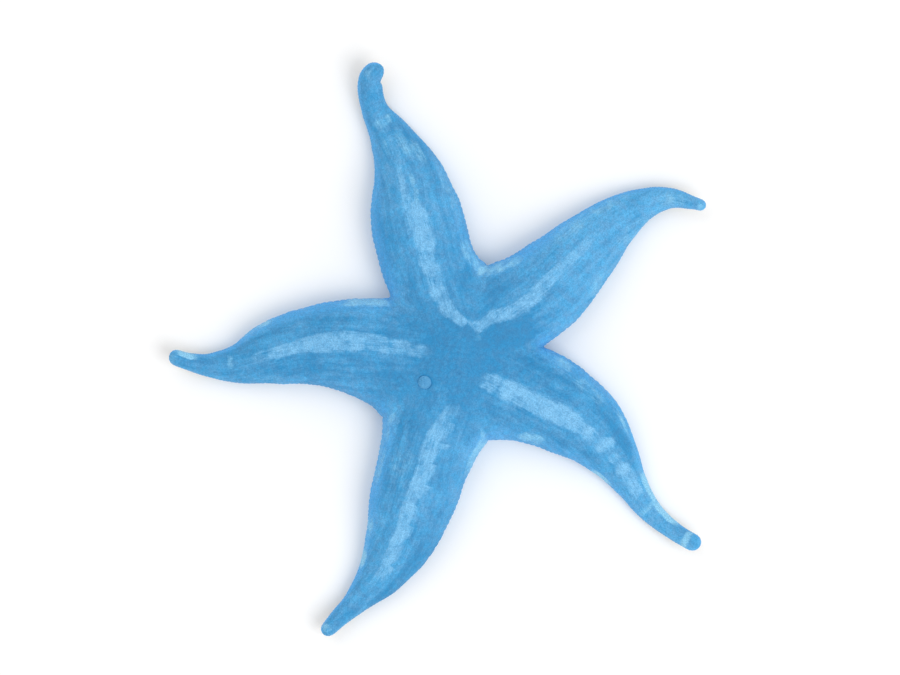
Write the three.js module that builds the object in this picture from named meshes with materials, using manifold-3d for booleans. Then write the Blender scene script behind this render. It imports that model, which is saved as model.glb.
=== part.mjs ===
// A blue sea star (Linckia laevigata) at rest, life size, about 22 cm across. Millimetres, +Z up.
// The floor is z = 0. The origin is on the floor, under the middle of the star's outline.
// Arms carry the letters zoologists give them: A lies opposite the madreporite, and B to E follow
// clockwise, seen from above. Each arm is parted into root, middle and tip.

import * as THREE from 'three';
import { mergeVertices } from 'three/addons/utils/BufferGeometryUtils.js';
import Module from 'manifold-3d';

const wasm = await Module();
wasm.setup();

// ---------------------------------------------------------------- driving dimensions

const DISC_AXIS = [7, -2.2]; // the mouth's axis, seen from the middle of the outline
const DISC_HEIGHT = 23.5; // crown of the disc above the floor
const ARM_RISE = 0.98; // arm height gained for each millimetre of half-width
const ARM_LEAST_HEIGHT = 2.6; // height that a vanishing half-width would still have
const RIM_SHARE = 0.41; // the widest line of an arm, as a share of its height
const NOTCH_RIM = 8; // height of that line where two arms meet
const RIM_EASE = 13; // run beyond a notch over which the line reaches its own height
const SOLE_SHARE = 0.7; // half-width of the sole that lies on the floor, as a share of the arm's
const SEAM = 0.3; // gap between touching nodes

const GROOVE_HALF = 4.1; // ambulacral groove, half-width and depth at full size
const GROOVE_DEPTH = 6.2;
const GROOVE_HALF_SHARE = 0.36; // it is at most this share of the arm's half-width
const GROOVE_DEPTH_SHARE = 0.36; // and at most this share of the arm's height

const WEB = 3; // the disc reaches this far along each arm beyond the notches
const MIDDLE_FROM = 0.5; // where root, middle and tip part, as shares of an arm's length
const TIP_FROM = 0.74;
const LIFT_FROM = 0.72; // an arm leaves the floor here

// One row for each station of an arm's midline: x and y from the disc's axis, and the half-width.
const ARMS = {
  a: {
    lift: 8,
    rows: [
      [0, 0, 17], [18, 15.4, 17], [34.2, 26.3, 16.8], [47.6, 39.1, 13.6], [59.1, 49.9, 9.8],
      [69.9, 56.7, 6.5], [80.2, 59.1, 4.1], [89.2, 57.3, 2.6], [94.3, 55.5, 2.1],
    ],
  },
  b: {
    lift: 7,
    rows: [
      [0, 0, 18], [17.8, -7.4, 18], [34.3, -16.7, 17.6], [49.7, -26.8, 14.4], [58.8, -37.3, 10.1],
      [65.5, -47.6, 6.4], [73, -58.2, 4.5], [82, -65.8, 3.5], [92.2, -71.7, 3.3],
    ],
  },
  c: {
    lift: 6,
    rows: [
      [0, 0, 17], [-6.4, -19.9, 18], [-11.6, -37.9, 17.2], [-16.5, -54.4, 16.1], [-20.6, -67.5, 13.6],
      [-28.1, -81.4, 9.2], [-38.1, -92.7, 4.8], [-44.1, -98.3, 3.6], [-50.3, -104.8, 2.6],
    ],
  },
  d: {
    lift: 8,
    rows: [
      [0, 0, 18], [-21, 2.9, 18], [-38.2, 4, 17.7], [-54.8, 3.8, 14.7], [-69, 1.1, 12],
      [-81.4, -2.8, 7.7], [-92.2, -3.5, 4.8], [-100, -2.1, 3.4], [-108.3, 0.7, 3.1],
    ],
  },
  e: {
    lift: 9,
    rows: [
      [0, 0, 18], [-6.6, 20.8, 17.4], [-11.5, 38.3, 17.7], [-15.1, 53.6, 17.2], [-18.2, 68.3, 13.2],
      [-24.2, 81.8, 8.3], [-30.6, 93.1, 5.1], [-32, 103.8, 4.6], [-27.3, 109.8, 3.1],
    ],
  },
};

const NOTCH_RADIUS = 34; // how far the notches lie from the disc's axis, on average

// The notches between neighbouring arms: the corner's x and y from the disc's axis, the run beyond
// it over which the arms' edges bend towards it, how far a web of skin fills it, and the web's run.
const NOTCHES = {
  ea: { corner: [11.6, 33.3], run: 12.8, web: 1.1, webRun: 7.9 },
  ab: { corner: [32.9, 3.5], run: 19.2, web: 0.3, webRun: 4.1 },
  bc: { corner: [12, -31], run: 18.7, web: 1.1, webRun: 7.9 },
  cd: { corner: [-26.9, -22.4], run: 22, web: 1.3, webRun: 6.6 },
  de: { corner: [-24, 21.5], run: 10.7, web: 1.3, webRun: 2.6 },
};
const NOTCHES_OF = { a: ['ea', 'ab'], b: ['ab', 'bc'], c: ['bc', 'cd'], d: ['cd', 'de'], e: ['de', 'ea'] };

const FOOT_PAIRS = { disc: 3, root: 4, middle: 5, tip: 6 }; // along each arm, on each node's length
const FIRST_FOOT = 9; // station of the first pair, beside the mouth
const FOOT_PLACE = 0.5; // distance of a foot from the midline, as a share of the groove's half-width
const FOOT_RADIUS = 0.3; // radius of its sucker, as another share of it
const FOOT_LEAST_RADIUS = 0.32;
const FOOT_SIZES = [0.9, 1.05]; // least and greatest, as shares of that radius
const FOOT_SHAFT = 0.66; // radius of its shaft, as a share of the sucker's
const FOOT_FLARE = 0.8; // height of the sucker's flare, as another share of it
const FOOT_CUP = 0.3; // depth of the sucker's cup, as a third
const FOOT_CLEARANCE = [0.5, 1]; // a sucker hangs this far above the floor
const FOOT_DROP = 0.4; // but never above this share of the groove's depth
const FOOT_LEAN = 0.12; // most that a foot leans, for each millimetre of its height
const FOOT_SINK = 0.9; // how deep a foot is rooted in the groove's roof
const FOOT_INSET = 2.6; // feet are centred this far from a seam
const LAST_FOOT_INSET = 1.35; // and from an arm's end, as a share of its last half-width
const SEED = 5; // of the draws that vary them
const JAW_SPINES = 3; // on each of the five jaws between the grooves
const JAW_SPINE = { from: 9.6, height: 1.2, apart: 0.95, fan: 0.12, rise: 0.08, length: 4.6, radius: 0.5 };
const JAW_SPINE_SIZES = [0.92, 1.05]; // least and greatest, as shares of that length
const JAW_SPINE_SHOULDER = [0.75, 0.8]; // radius and place of its shoulder, as shares

const MOUTH_RADIUS = 3.3;
const MOUTH_TOP = 8;
const MOUTH_LIP = [[0, 6.6], [0.9, 6.4], [1.4, 5.5], [2.2, 5], [2.9, 5.3], [3.3, 6.2]]; // radius, height
const MOUTH_RECESS = 1; // the recess round the mouth opens at this height
const MADREPORITE_RADIUS = 2.5;
const MADREPORITE_DEPTH = 1.4; // how deep it is seated
const MADREPORITE_DOME = [[1, 0.3], [0.8, 0.8], [0.4, 1], [0, 1.05]]; // share of the radius, height
const MADREPORITE_CLEARANCE = 3; // nothing of the disc stands over it, up to this height
const MADREPORITE_SHARE = 0.42; // its place between the disc's axis and notch cd
const EYE_RADIUS = 0.8;
const EYE_INSET = 1.25; // how far inside an arm's end it sits, in the roof of the groove
const EYE_HEIGHT = 0.68; // its height, as a share of the rim's

// ---------------------------------------------------------------- how the disc and arms swell

const VALLEY = { flatness: 2, roundness: 0.6 }; // the disc's fall from its crown to a notch
const DISC_SOLE = 0.84; // the disc's sole ends at this share of the way to a notch
const CENTRE_ROUNDNESS = 1.6; // power of a section's arch at the disc's axis
const ARM_ROUNDNESS = 0.5; // and along the arms, where it is a half ellipse

// ---------------------------------------------------------------- mesh density

const NOTCH_STEP = 0.02; // of the search along an arm for the line between its notches
const DISC_RINGS = 6; // from the disc's axis to the notches
const WEB_RINGS = 2; // from the notches to the seam with an arm
const ROOT_RINGS = 5;
const MIDDLE_RINGS = 5;
const TIP_RINGS = 5;
const CAP_RINGS = 3; // in the rounding at the end of an arm
const GROOVE_STOPS = [0, 0.74, 1]; // points of a section's underside, as shares of the groove's half
const ROUNDING_STOPS = [0, 0.5, 0.87, 1]; // and of the rounding from the sole to the rim
const EDGE_STEPS = GROOVE_STOPS.length + ROUNDING_STOPS.length - 1; // as many points over as under
const ROUND_SEGMENTS = 12; // around the mouth and madreporite
const EYE_SEGMENTS = 8;
const FOOT_SIDES = 5;
const SPINE_SIDES = 4;

// ---------------------------------------------------------------- small helpers

const NEARBY = 0.05; // run along an arm, or a share of a way, over which a direction is taken
const { lerp, smoothstep } = THREE.MathUtils;
const counting = (count) => Array.from({ length: count }, (_, i) => i);

/** A curve through the rows, by the distance run in plan. It gives a row for any distance. */
function curveThrough(rows) {
  const stations = [0];
  rows.slice(1).forEach(([x, y], i) => {
    stations.push(stations[i] + Math.hypot(x - rows[i][0], y - rows[i][1]));
  });
  const last = rows.length - 1;
  const slope = (i, column) => {
    const [before, after] = [Math.max(i - 1, 0), Math.min(i + 1, last)];
    return (rows[after][column] - rows[before][column]) / (stations[after] - stations[before]);
  };
  const at = (station) => {
    const passed = stations.filter((s) => s <= station).length - 1;
    const i = THREE.MathUtils.clamp(passed, 0, last - 1);
    const span = stations[i + 1] - stations[i];
    const t = (station - stations[i]) / span;
    return rows[i].map((from, column) => {
      const to = rows[i + 1][column];
      const fromPart = from * (1 + 2 * t) * (1 - t) ** 2 + slope(i, column) * span * t * (1 - t) ** 2;
      const toPart = to * t * t * (3 - 2 * t) + slope(i + 1, column) * span * t * t * (t - 1);
      return fromPart + toPart;
    });
  };
  return { length: stations[last], at };
}

/** Triangles of a sheet through rows of points. It faces the side from which its rows run to the
 * right while they follow one another upwards. */
function sheet(rows) {
  return rows.slice(1).flatMap((above, k) => {
    const row = rows[k];
    return counting(row.length - 1).flatMap((i) => [
      row[i], row[i + 1], above[i + 1],
      row[i], above[i + 1], above[i],
    ]);
  });
}

/** The solid inside a closed geometry, without the flat triangles left at its poles. */
function solidOf(geometry) {
  const bare = geometry.clone().deleteAttribute('normal').deleteAttribute('uv');
  const merged = mergeVertices(bare);
  const corners = merged.index.array;
  const triangles = counting(corners.length / 3).map((i) => [...corners.slice(3 * i, 3 * i + 3)]);
  const kept = triangles.filter((triangle) => new Set(triangle).size === 3);
  const vertProperties = merged.attributes.position.array;
  const triVerts = new Uint32Array(kept.flat());
  return new wasm.Manifold(new wasm.Mesh({ numProp: 3, vertProperties, triVerts }));
}

const solidOfTriangles = (triangles) => solidOf(new THREE.BufferGeometry().setFromPoints(triangles));

/** The geometry of a solid's largest closed surface. */
function geometryOf(solid) {
  const pieces = solid.decompose();
  const largest = pieces.reduce((best, piece) => (piece.volume() > best.volume() ? piece : best));
  const { vertProperties, triVerts } = largest.getMesh();
  const geometry = new THREE.BufferGeometry();
  geometry.setAttribute('position', new THREE.BufferAttribute(vertProperties, 3));
  geometry.setIndex(new THREE.BufferAttribute(triVerts, 1));
  geometry.computeVertexNormals();
  return geometry;
}

/** A solid of [radius, height] points turned about an axis that stands at a place. */
function turned(profile, place, axis, segments = ROUND_SEGMENTS, spin = 0) {
  const points = profile.map(([radius, height]) => new THREE.Vector2(radius, height));
  const upright = THREE.Object3D.DEFAULT_UP;
  const tilt = new THREE.Quaternion().setFromUnitVectors(upright, axis.clone().normalize());
  const stand = new THREE.Matrix4().compose(place, tilt, new THREE.Vector3(1, 1, 1));
  return solidOf(new THREE.LatheGeometry(points, segments, spin).applyMatrix4(stand));
}

const FULL_TURN = 2 * Math.PI;

/** A draw between two numbers, the same on every run. */
const draw = (low, high) => lerp(low, high, THREE.MathUtils.seededRandom());

// ---------------------------------------------------------------- arms and their sections

/** A notch between two arms: its corner, the web that fills it, and its place once it is filled. */
function makeNotch(name) {
  const { corner: [x, y], run, web, webRun } = NOTCHES[name];
  const corner = new THREE.Vector3(x, y, 0);
  const filling = corner.clone().setLength(web);
  return { corner, run, filling, webRun, place: corner.clone().add(filling) };
}

/** An arm: its curve, its notches, and the station where its midline passes between them. */
function makeArm(letter) {
  const { rows, lift } = ARMS[letter];
  const curve = curveThrough(rows);
  const [left, right] = NOTCHES_OF[letter].map(makeNotch);
  const midline = (station) => {
    const [x, y] = curve.at(station);
    return new THREE.Vector3(x, y, 0);
  };
  const outsideNotches = (station) => {
    const chord = left.corner.clone().sub(right.corner);
    return chord.cross(midline(station).sub(right.corner)).z < 0;
  };
  let notch = 0;
  while (!outsideNotches(notch)) notch += NOTCH_STEP;
  const half = (station) => curve.at(station)[2];
  return { letter, lift, left, right, midline, half, notch, length: curve.length };
}

/** The horizontal direction to the left of an arm's midline. */
function leftOf(arm, station) {
  const ahead = arm.midline(Math.min(station + NEARBY, arm.length));
  const forward = ahead.sub(arm.midline(station - NEARBY)).normalize();
  return new THREE.Vector3(-forward.y, forward.x, 0);
}

/** Height of an arm's crest above its sole. */
const crestHeight = (half) => ARM_LEAST_HEIGHT + ARM_RISE * half;

/** Height of a quarter round of unit radius that leaves the floor level and ends upright. */
const quarterRound = (t) => 1 - Math.sqrt(Math.max(0, 1 - t * t));

/** A section across the disc, bent along the lines from its axis to an arm's two notches. */
function discSection(arm, share) {
  const origin = arm.midline(share * arm.notch);
  const fall = (1 - share ** VALLEY.flatness) ** VALLEY.roundness;
  const reach = share * NOTCH_RADIUS * Math.sin(Math.PI / 5);
  return {
    origin,
    up: new THREE.Vector3(0, 0, 1),
    left: arm.left.place.clone().multiplyScalar(share).sub(origin),
    right: arm.right.place.clone().multiplyScalar(share).sub(origin),
    crest: lerp(DISC_HEIGHT, crestHeight(arm.half(arm.notch)), smoothstep(share, 0, 1)),
    rimOver: lerp(NOTCH_RIM, DISC_HEIGHT, fall),
    rimUnder: NOTCH_RIM * quarterRound(Math.max(0, share - DISC_SOLE) / (1 - DISC_SOLE)),
    roundness: lerp(CENTRE_ROUNDNESS, ARM_ROUNDNESS, share),
    sole: SOLE_SHARE,
    grooveHalf: reach > 0 ? GROOVE_HALF / reach : Infinity,
    grooveDepth: GROOVE_DEPTH,
    shrink: 1,
  };
}

/** A section across an arm beyond its notches. It stands square to the midline, which climbs
 * where the tip lifts, and it shrinks towards its rim in the rounding at the arm's end. */
function armSection(arm, station) {
  const liftFrom = LIFT_FROM * arm.length;
  const climb = Math.max(0, station - liftFrom) / (arm.length - liftFrom);
  const slope = (2 * arm.lift * climb) / (arm.length - liftFrom);
  const across = leftOf(arm, station);
  const forward = new THREE.Vector3(across.y, -across.x, 0);
  const half = arm.half(station);
  const crest = crestHeight(half);
  const roundingLength = arm.half(arm.length);
  const intoRounding = Math.max(0, station - arm.length + roundingLength) / roundingLength;

  const fading = (run) => Math.max(0, 1 - (station - arm.notch) / run) ** 2;
  const edge = (side, { corner, run, filling, webRun }) => {
    const straight = leftOf(arm, arm.notch).multiplyScalar(side * arm.half(arm.notch));
    const drawn = corner.clone().sub(arm.midline(arm.notch)).sub(straight);
    const bent = across.clone().multiplyScalar(side * half).addScaledVector(drawn, fading(run));
    return bent.addScaledVector(filling, fading(webRun));
  };
  const rimAtNotch = RIM_SHARE * crestHeight(arm.half(arm.notch));
  const rim = RIM_SHARE * crest + (NOTCH_RIM - rimAtNotch) * fading(RIM_EASE);
  return {
    origin: arm.midline(station).setZ(arm.lift * climb * climb),
    up: new THREE.Vector3(0, 0, 1).addScaledVector(forward, -slope).normalize(),
    left: edge(1, arm.left),
    right: edge(-1, arm.right),
    crest,
    rimOver: rim,
    rimUnder: rim,
    roundness: ARM_ROUNDNESS,
    sole: SOLE_SHARE,
    grooveHalf: Math.min(GROOVE_HALF / half, GROOVE_HALF_SHARE),
    grooveDepth: Math.min(GROOVE_DEPTH, GROOVE_DEPTH_SHARE * crest),
    shrink: Math.sqrt(Math.max(0, 1 - intoRounding ** 2)),
  };
}

/** The point of a section at a share of its half-width, positive to the left, and a height. */
function pointOf(section, across, height) {
  const { origin, up, left, right, rimOver, shrink } = section;
  const edge = across > 0 ? left : right;
  return origin
    .clone()
    .addScaledVector(edge, Math.abs(across) * shrink)
    .addScaledVector(up, shrink < 1 ? lerp(rimOver, height, shrink) : height);
}

/** Height of a section's back. */
const overHeight = ({ crest, rimOver, roundness }, across) =>
  rimOver + (crest - rimOver) * (1 - across ** 2) ** roundness;

/** Height of a section's underside: the groove's roof, the sole, and the rounding to the rim. */
function underHeight({ rimUnder, sole, grooveHalf, grooveDepth }, across) {
  const share = Math.abs(across);
  if (share < grooveHalf) return grooveDepth * Math.sqrt(1 - (share / grooveHalf) ** 2);
  return share > sole ? rimUnder * quarterRound((share - sole) / (1 - sole)) : 0;
}

/** Shares of the half-width at which a section's underside has its points, middle to edge. */
function underShares({ sole, grooveHalf }) {
  const groove = Math.min(grooveHalf, 1);
  const soleEdge = Math.max(sole, groove);
  return [...GROOVE_STOPS.map((t) => t * groove), ...ROUNDING_STOPS.map((t) => lerp(soleEdge, 1, t))];
}

/** A section's two rows of points, from its left edge to its right one. */
function rowsOf(section) {
  const mirrored = (shares) => [...shares.slice(1).reverse(), ...shares.map((share) => -share)];
  const overShares = counting(EDGE_STEPS + 1).map((i) => Math.sin((Math.PI / 2) * (i / EDGE_STEPS)));
  const row = (shares, height) =>
    mirrored(shares).map((share) => pointOf(section, share, height(section, share)));
  return { over: row(overShares, overHeight), under: row(underShares(section), underHeight) };
}

/** The skin along a run of sections, without its ends. */
function sides(sections) {
  const rows = sections.map(rowsOf);
  return [...sheet(rows.map((row) => row.over)), ...sheet(rows.map((row) => row.under).reverse())];
}

/** The face that closes a section, seen from beyond it or from before it. */
function endFace(section) {
  const { over, under } = rowsOf(section);
  return sheet([over, under]);
}

function startFace(section) {
  const { over, under } = rowsOf(section);
  return sheet([under, over]);
}

// ---------------------------------------------------------------- the body's solids

const arms = Object.keys(ARMS).map(makeArm);

/** Stations spread evenly between two others, both included. */
const between = (from, to, steps) => counting(steps + 1).map((i) => lerp(from, to, i / steps));

function discSolid() {
  const triangles = arms.flatMap((arm) => {
    const inner = between(0, 1, DISC_RINGS).map((share) => discSection(arm, share));
    const web = between(arm.notch, arm.notch + WEB, WEB_RINGS).slice(1);
    const sections = [...inner, ...web.map((station) => armSection(arm, station))];
    return [...sides(sections), ...endFace(sections.at(-1))];
  });
  return solidOfTriangles(triangles);
}

/** A length of arm between two stations, closed at both ends. */
function lengthOfArm(arm, stations) {
  const sections = stations.map((station) => armSection(arm, station));
  return solidOfTriangles([...sides(sections), ...startFace(sections[0]), ...endFace(sections.at(-1))]);
}

const rootStations = (arm) => between(arm.notch + WEB + SEAM, MIDDLE_FROM * arm.length, ROOT_RINGS);
const middleStations = (arm) =>
  between(MIDDLE_FROM * arm.length + SEAM, TIP_FROM * arm.length, MIDDLE_RINGS);

function tipStations(arm) {
  const rounding = arm.half(arm.length);
  const straight = between(TIP_FROM * arm.length + SEAM, arm.length - rounding, TIP_RINGS);
  const capped = between(0, Math.PI / 2, CAP_RINGS).slice(1);
  return [...straight, ...capped.map((angle) => arm.length - rounding * (1 - Math.sin(angle)))];
}

// ---------------------------------------------------------------- tube feet and jaw spines

const sectionAt = (arm, station) =>
  station < arm.notch ? discSection(arm, station / arm.notch) : armSection(arm, station);

/** A tube foot with its sucker, drawn up into the groove. Side is 1 on the left, -1 on the right. */
function tubeFoot(arm, station, side) {
  const section = sectionAt(arm, station);
  const across = side * FOOT_PLACE * section.grooveHalf;
  const grooveHalf = section.grooveHalf * section.left.length();
  const sucker = Math.max(FOOT_LEAST_RADIUS, FOOT_RADIUS * grooveHalf) * draw(...FOOT_SIZES);
  const shaft = FOOT_SHAFT * sucker;
  const roof = underHeight(section, across);
  const foot = Math.min(draw(...FOOT_CLEARANCE), FOOT_DROP * roof);
  const lean = new THREE.Vector3(draw(-FOOT_LEAN, FOOT_LEAN), draw(-FOOT_LEAN, FOOT_LEAN), 0);
  const profile = [
    [0, FOOT_CUP * sucker],
    [sucker, 0],
    [shaft, FOOT_FLARE * sucker],
    [shaft, roof - foot + FOOT_SINK],
    [0, roof - foot + FOOT_SINK],
  ];
  const place = pointOf(section, across, foot);
  return turned(profile, place, section.up.clone().add(lean), FOOT_SIDES, draw(0, FULL_TURN));
}

/** The short spines of the jaw that stands before a notch. They point at the mouth. */
function jawSpines(notch) {
  const { from, height, apart, fan, rise, radius } = JAW_SPINE;
  const outward = notch.clone().normalize();
  const sideways = new THREE.Vector3(-outward.y, outward.x, 0);
  return between(-1, 1, JAW_SPINES - 1).map((side) => {
    const length = JAW_SPINE.length * draw(...JAW_SPINE_SIZES);
    const base = outward.clone().multiplyScalar(from).setZ(height);
    const place = base.addScaledVector(sideways, apart * side);
    const axis = sideways.clone().multiplyScalar(fan * side).sub(outward).setZ(rise);
    const [shoulder, up] = JAW_SPINE_SHOULDER;
    const profile = [[0, 0], [radius, 0], [shoulder * radius, up * length], [0, length]];
    return turned(profile, place, axis, SPINE_SIDES, draw(0, FULL_TURN));
  });
}

/** The pairs of tube feet of one node, from its first station to its last. */
function tubeFeet(arm, node, first, last) {
  const stations = between(first, last, FOOT_PAIRS[node] - 1);
  return stations.flatMap((station) => [tubeFoot(arm, station, 1), tubeFoot(arm, station, -1)]);
}

const joined = (solid, pieces) => pieces.reduce((whole, piece) => whole.add(piece), solid);

// ---------------------------------------------------------------- mouth, madreporite, eye spots

const UP = new THREE.Vector3(0, 0, 1);
const ON_AXIS = new THREE.Vector3(0, 0, 0);

/** The ring of skin round the mouth, in the roof of the star-shaped recess. */
function mouthSolid() {
  return turned([...MOUTH_LIP, [MOUTH_RADIUS, MOUTH_TOP], [0, MOUTH_TOP]], ON_AXIS, UP);
}

/** What is cut from the disc round a seated piece: a round pocket between two heights. */
function pocketProfile(radius, low, high) {
  const wall = radius + SEAM;
  return [[0, low], [wall, low], [wall, high], [0, high]];
}

const mouthPocket = () => turned(pocketProfile(MOUTH_RADIUS, MOUTH_RECESS, MOUTH_TOP + SEAM), ON_AXIS, UP);

/** Place and outward direction of the madreporite, in the valley that runs to notch cd. */
function madreporiteSeat() {
  const arm = arms.find(({ letter }) => letter === 'd');
  const { place } = arm.left;
  const valley = (share) => place.clone().multiplyScalar(share).setZ(discSection(arm, share).rimOver);
  const fall = valley(MADREPORITE_SHARE + NEARBY).sub(valley(MADREPORITE_SHARE - NEARBY));
  const sideways = new THREE.Vector3(-place.y, place.x, 0);
  return { place: valley(MADREPORITE_SHARE), axis: fall.cross(sideways) };
}

function madreporiteSolid() {
  const { place, axis } = madreporiteSeat();
  const seat = [[0, -MADREPORITE_DEPTH], [MADREPORITE_RADIUS, -MADREPORITE_DEPTH]];
  const dome = MADREPORITE_DOME.map(([share, height]) => [share * MADREPORITE_RADIUS, height]);
  return turned([...seat, ...dome], place, axis);
}

function madreporitePocket() {
  const { place, axis } = madreporiteSeat();
  const floor = -MADREPORITE_DEPTH - SEAM;
  return turned(pocketProfile(MADREPORITE_RADIUS, floor, MADREPORITE_CLEARANCE), place, axis);
}

/** A ball under the end of an arm, where the groove runs out. */
function eyeBall(arm, radius) {
  const section = armSection(arm, arm.length - EYE_INSET);
  const place = section.origin.clone().addScaledVector(section.up, EYE_HEIGHT * section.rimOver);
  const ball = new THREE.SphereGeometry(radius, EYE_SEGMENTS, EYE_SEGMENTS - 2);
  return solidOf(ball.translate(...place.toArray()));
}

// ---------------------------------------------------------------- materials and the finished star

const SKIN = new THREE.MeshStandardMaterial({ color: 0x5aa6d9, roughness: 0.55, metalness: 0 });
const ORAL_SKIN = new THREE.MeshStandardMaterial({ color: 0xd8c49a, roughness: 0.6, metalness: 0 });
const SIEVE_PLATE = new THREE.MeshStandardMaterial({ color: 0xa9d3ee, roughness: 0.7, metalness: 0 });
const PIGMENT = new THREE.MeshStandardMaterial({ color: 0xa8321e, roughness: 0.35, metalness: 0 });

const star = new THREE.Group();
star.position.set(...DISC_AXIS, 0);

function add(name, solid, material) {
  const mesh = new THREE.Mesh(geometryOf(solid), material);
  mesh.name = name;
  star.add(mesh);
}

THREE.MathUtils.seededRandom(SEED);

const underDisc = arms.flatMap((arm) => {
  const feet = tubeFeet(arm, 'disc', FIRST_FOOT, arm.notch + WEB - FOOT_INSET);
  return [...feet, ...jawSpines(arm.left.place)];
});
const disc = joined(discSolid(), underDisc);
add('disc', disc.subtract(mouthPocket()).subtract(madreporitePocket()), SKIN);
add('mouth', mouthSolid(), ORAL_SKIN);
add('madreporite', madreporiteSolid(), SIEVE_PLATE);

for (const arm of arms) {
  const lengths = { root: rootStations(arm), middle: middleStations(arm), tip: tipStations(arm) };
  for (const [node, stations] of Object.entries(lengths)) {
    const endInset = node === 'tip' ? LAST_FOOT_INSET * arm.half(arm.length) : FOOT_INSET;
    const feet = tubeFeet(arm, node, stations[0] + FOOT_INSET, stations.at(-1) - endInset);
    const whole = joined(lengthOfArm(arm, stations), feet);
    const cut = node === 'tip' ? whole.subtract(eyeBall(arm, EYE_RADIUS + SEAM)) : whole;
    add(`arm_${arm.letter}_${node}`, cut, SKIN);
  }
  add(`eye_spot_${arm.letter}`, eyeBall(arm, EYE_RADIUS), PIGMENT);
}

export default star;
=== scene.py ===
"""A blue sea star (Linckia laevigata) at rest, life size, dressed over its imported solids.

One skin covers the disc and the five arms, with its plates in relief. Tube feet fill the grooves
beneath, with spinelets along them, round a mouth with oral spines. The madreporite and the red eye
spots are pieces of their own. Lengths are in millimetres until a mesh is made. Arms run from the
disc's axis, a station is a distance along an arm's midline in plan, and a share goes across an arm
from -1 at its right edge to 1 at its left, looking outward."""

import math

import bpy
import numpy as np
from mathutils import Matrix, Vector, kdtree, noise


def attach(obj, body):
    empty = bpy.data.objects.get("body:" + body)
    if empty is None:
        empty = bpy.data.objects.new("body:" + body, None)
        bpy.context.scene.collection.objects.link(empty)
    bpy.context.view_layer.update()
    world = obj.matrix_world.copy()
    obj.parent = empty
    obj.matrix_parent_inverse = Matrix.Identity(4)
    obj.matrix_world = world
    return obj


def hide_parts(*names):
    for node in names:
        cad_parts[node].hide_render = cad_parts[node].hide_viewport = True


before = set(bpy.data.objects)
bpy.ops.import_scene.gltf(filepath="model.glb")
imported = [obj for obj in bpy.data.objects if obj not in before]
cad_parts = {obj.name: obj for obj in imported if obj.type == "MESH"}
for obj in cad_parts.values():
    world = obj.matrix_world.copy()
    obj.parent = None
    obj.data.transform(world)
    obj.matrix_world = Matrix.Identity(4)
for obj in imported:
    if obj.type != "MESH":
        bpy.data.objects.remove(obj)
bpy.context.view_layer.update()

# ---------------- the body's measures

MM = 0.001
SEED = 11
TINY = 1e-6
DISC_AXIS = (7, -2.2)
DISC_HEIGHT = 23.5
ARM_RISE = 0.98
ARM_LEAST_HEIGHT = 2.6
RIM_SHARE = 0.41
NOTCH_RIM = 8
RIM_EASE = 13
SOLE_SHARE = 0.7
GROOVE_HALF = 4.1
GROOVE_DEPTH = 6.2
GROOVE_HALF_SHARE = 0.36
GROOVE_DEPTH_SHARE = 0.36
LIFT_FROM = 0.72
NOTCH_RADIUS = 34
DISC_FALL = (2, 0.6)
DISC_SOLE = 0.84
CENTRE_ROUNDNESS = 1.6
ARM_ROUNDNESS = 0.5
MOUTH_RADIUS = 3.3
MADREPORITE_RADIUS = 2.5
MADREPORITE_SHARE = 0.42
EYE_RADIUS = 0.8
EYE_INSET = 1.25
EYE_HEIGHT = 0.68

# One row for each station of an arm's midline: x and y from the disc's axis, and the half-width.
ARMS = {
    "a": [
        (0, 0, 17), (18, 15.4, 17), (34.2, 26.3, 16.8), (47.6, 39.1, 13.6), (59.1, 49.9, 9.8),
        (69.9, 56.7, 6.5), (80.2, 59.1, 4.1), (89.2, 57.3, 2.6), (94.3, 55.5, 2.1),
    ],
    "b": [
        (0, 0, 18), (17.8, -7.4, 18), (34.3, -16.7, 17.6), (49.7, -26.8, 14.4), (58.8, -37.3, 10.1),
        (65.5, -47.6, 6.4), (73, -58.2, 4.5), (82, -65.8, 3.5), (92.2, -71.7, 3.3),
    ],
    "c": [
        (0, 0, 17), (-6.4, -19.9, 18), (-11.6, -37.9, 17.2), (-16.5, -54.4, 16.1),
        (-20.6, -67.5, 13.6), (-28.1, -81.4, 9.2), (-38.1, -92.7, 4.8), (-44.1, -98.3, 3.6),
        (-50.3, -104.8, 2.6),
    ],
    "d": [
        (0, 0, 18), (-21, 2.9, 18), (-38.2, 4, 17.7), (-54.8, 3.8, 14.7), (-69, 1.1, 12),
        (-81.4, -2.8, 7.7), (-92.2, -3.5, 4.8), (-100, -2.1, 3.4), (-108.3, 0.7, 3.1),
    ],
    "e": [
        (0, 0, 18), (-6.6, 20.8, 17.4), (-11.5, 38.3, 17.7), (-15.1, 53.6, 17.2),
        (-18.2, 68.3, 13.2), (-24.2, 81.8, 8.3), (-30.6, 93.1, 5.1), (-32, 103.8, 4.6),
        (-27.3, 109.8, 3.1),
    ],
}
LIFTS = {"a": 8, "b": 7, "c": 6, "d": 8, "e": 9}

# The notches between neighbouring arms: the corner's x and y from the disc's axis, the run beyond
# it over which the arms' edges bend towards it, how far a web of skin fills it, and the web's run.
NOTCHES = {
    "ea": (11.6, 33.3, 12.8, 1.1, 7.9),
    "ab": (32.9, 3.5, 19.2, 0.3, 4.1),
    "bc": (12, -31, 18.7, 1.1, 7.9),
    "cd": (-26.9, -22.4, 22, 1.3, 6.6),
    "de": (-24, 21.5, 10.7, 1.3, 2.6),
}

# ---------------- the skin's measures

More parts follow.
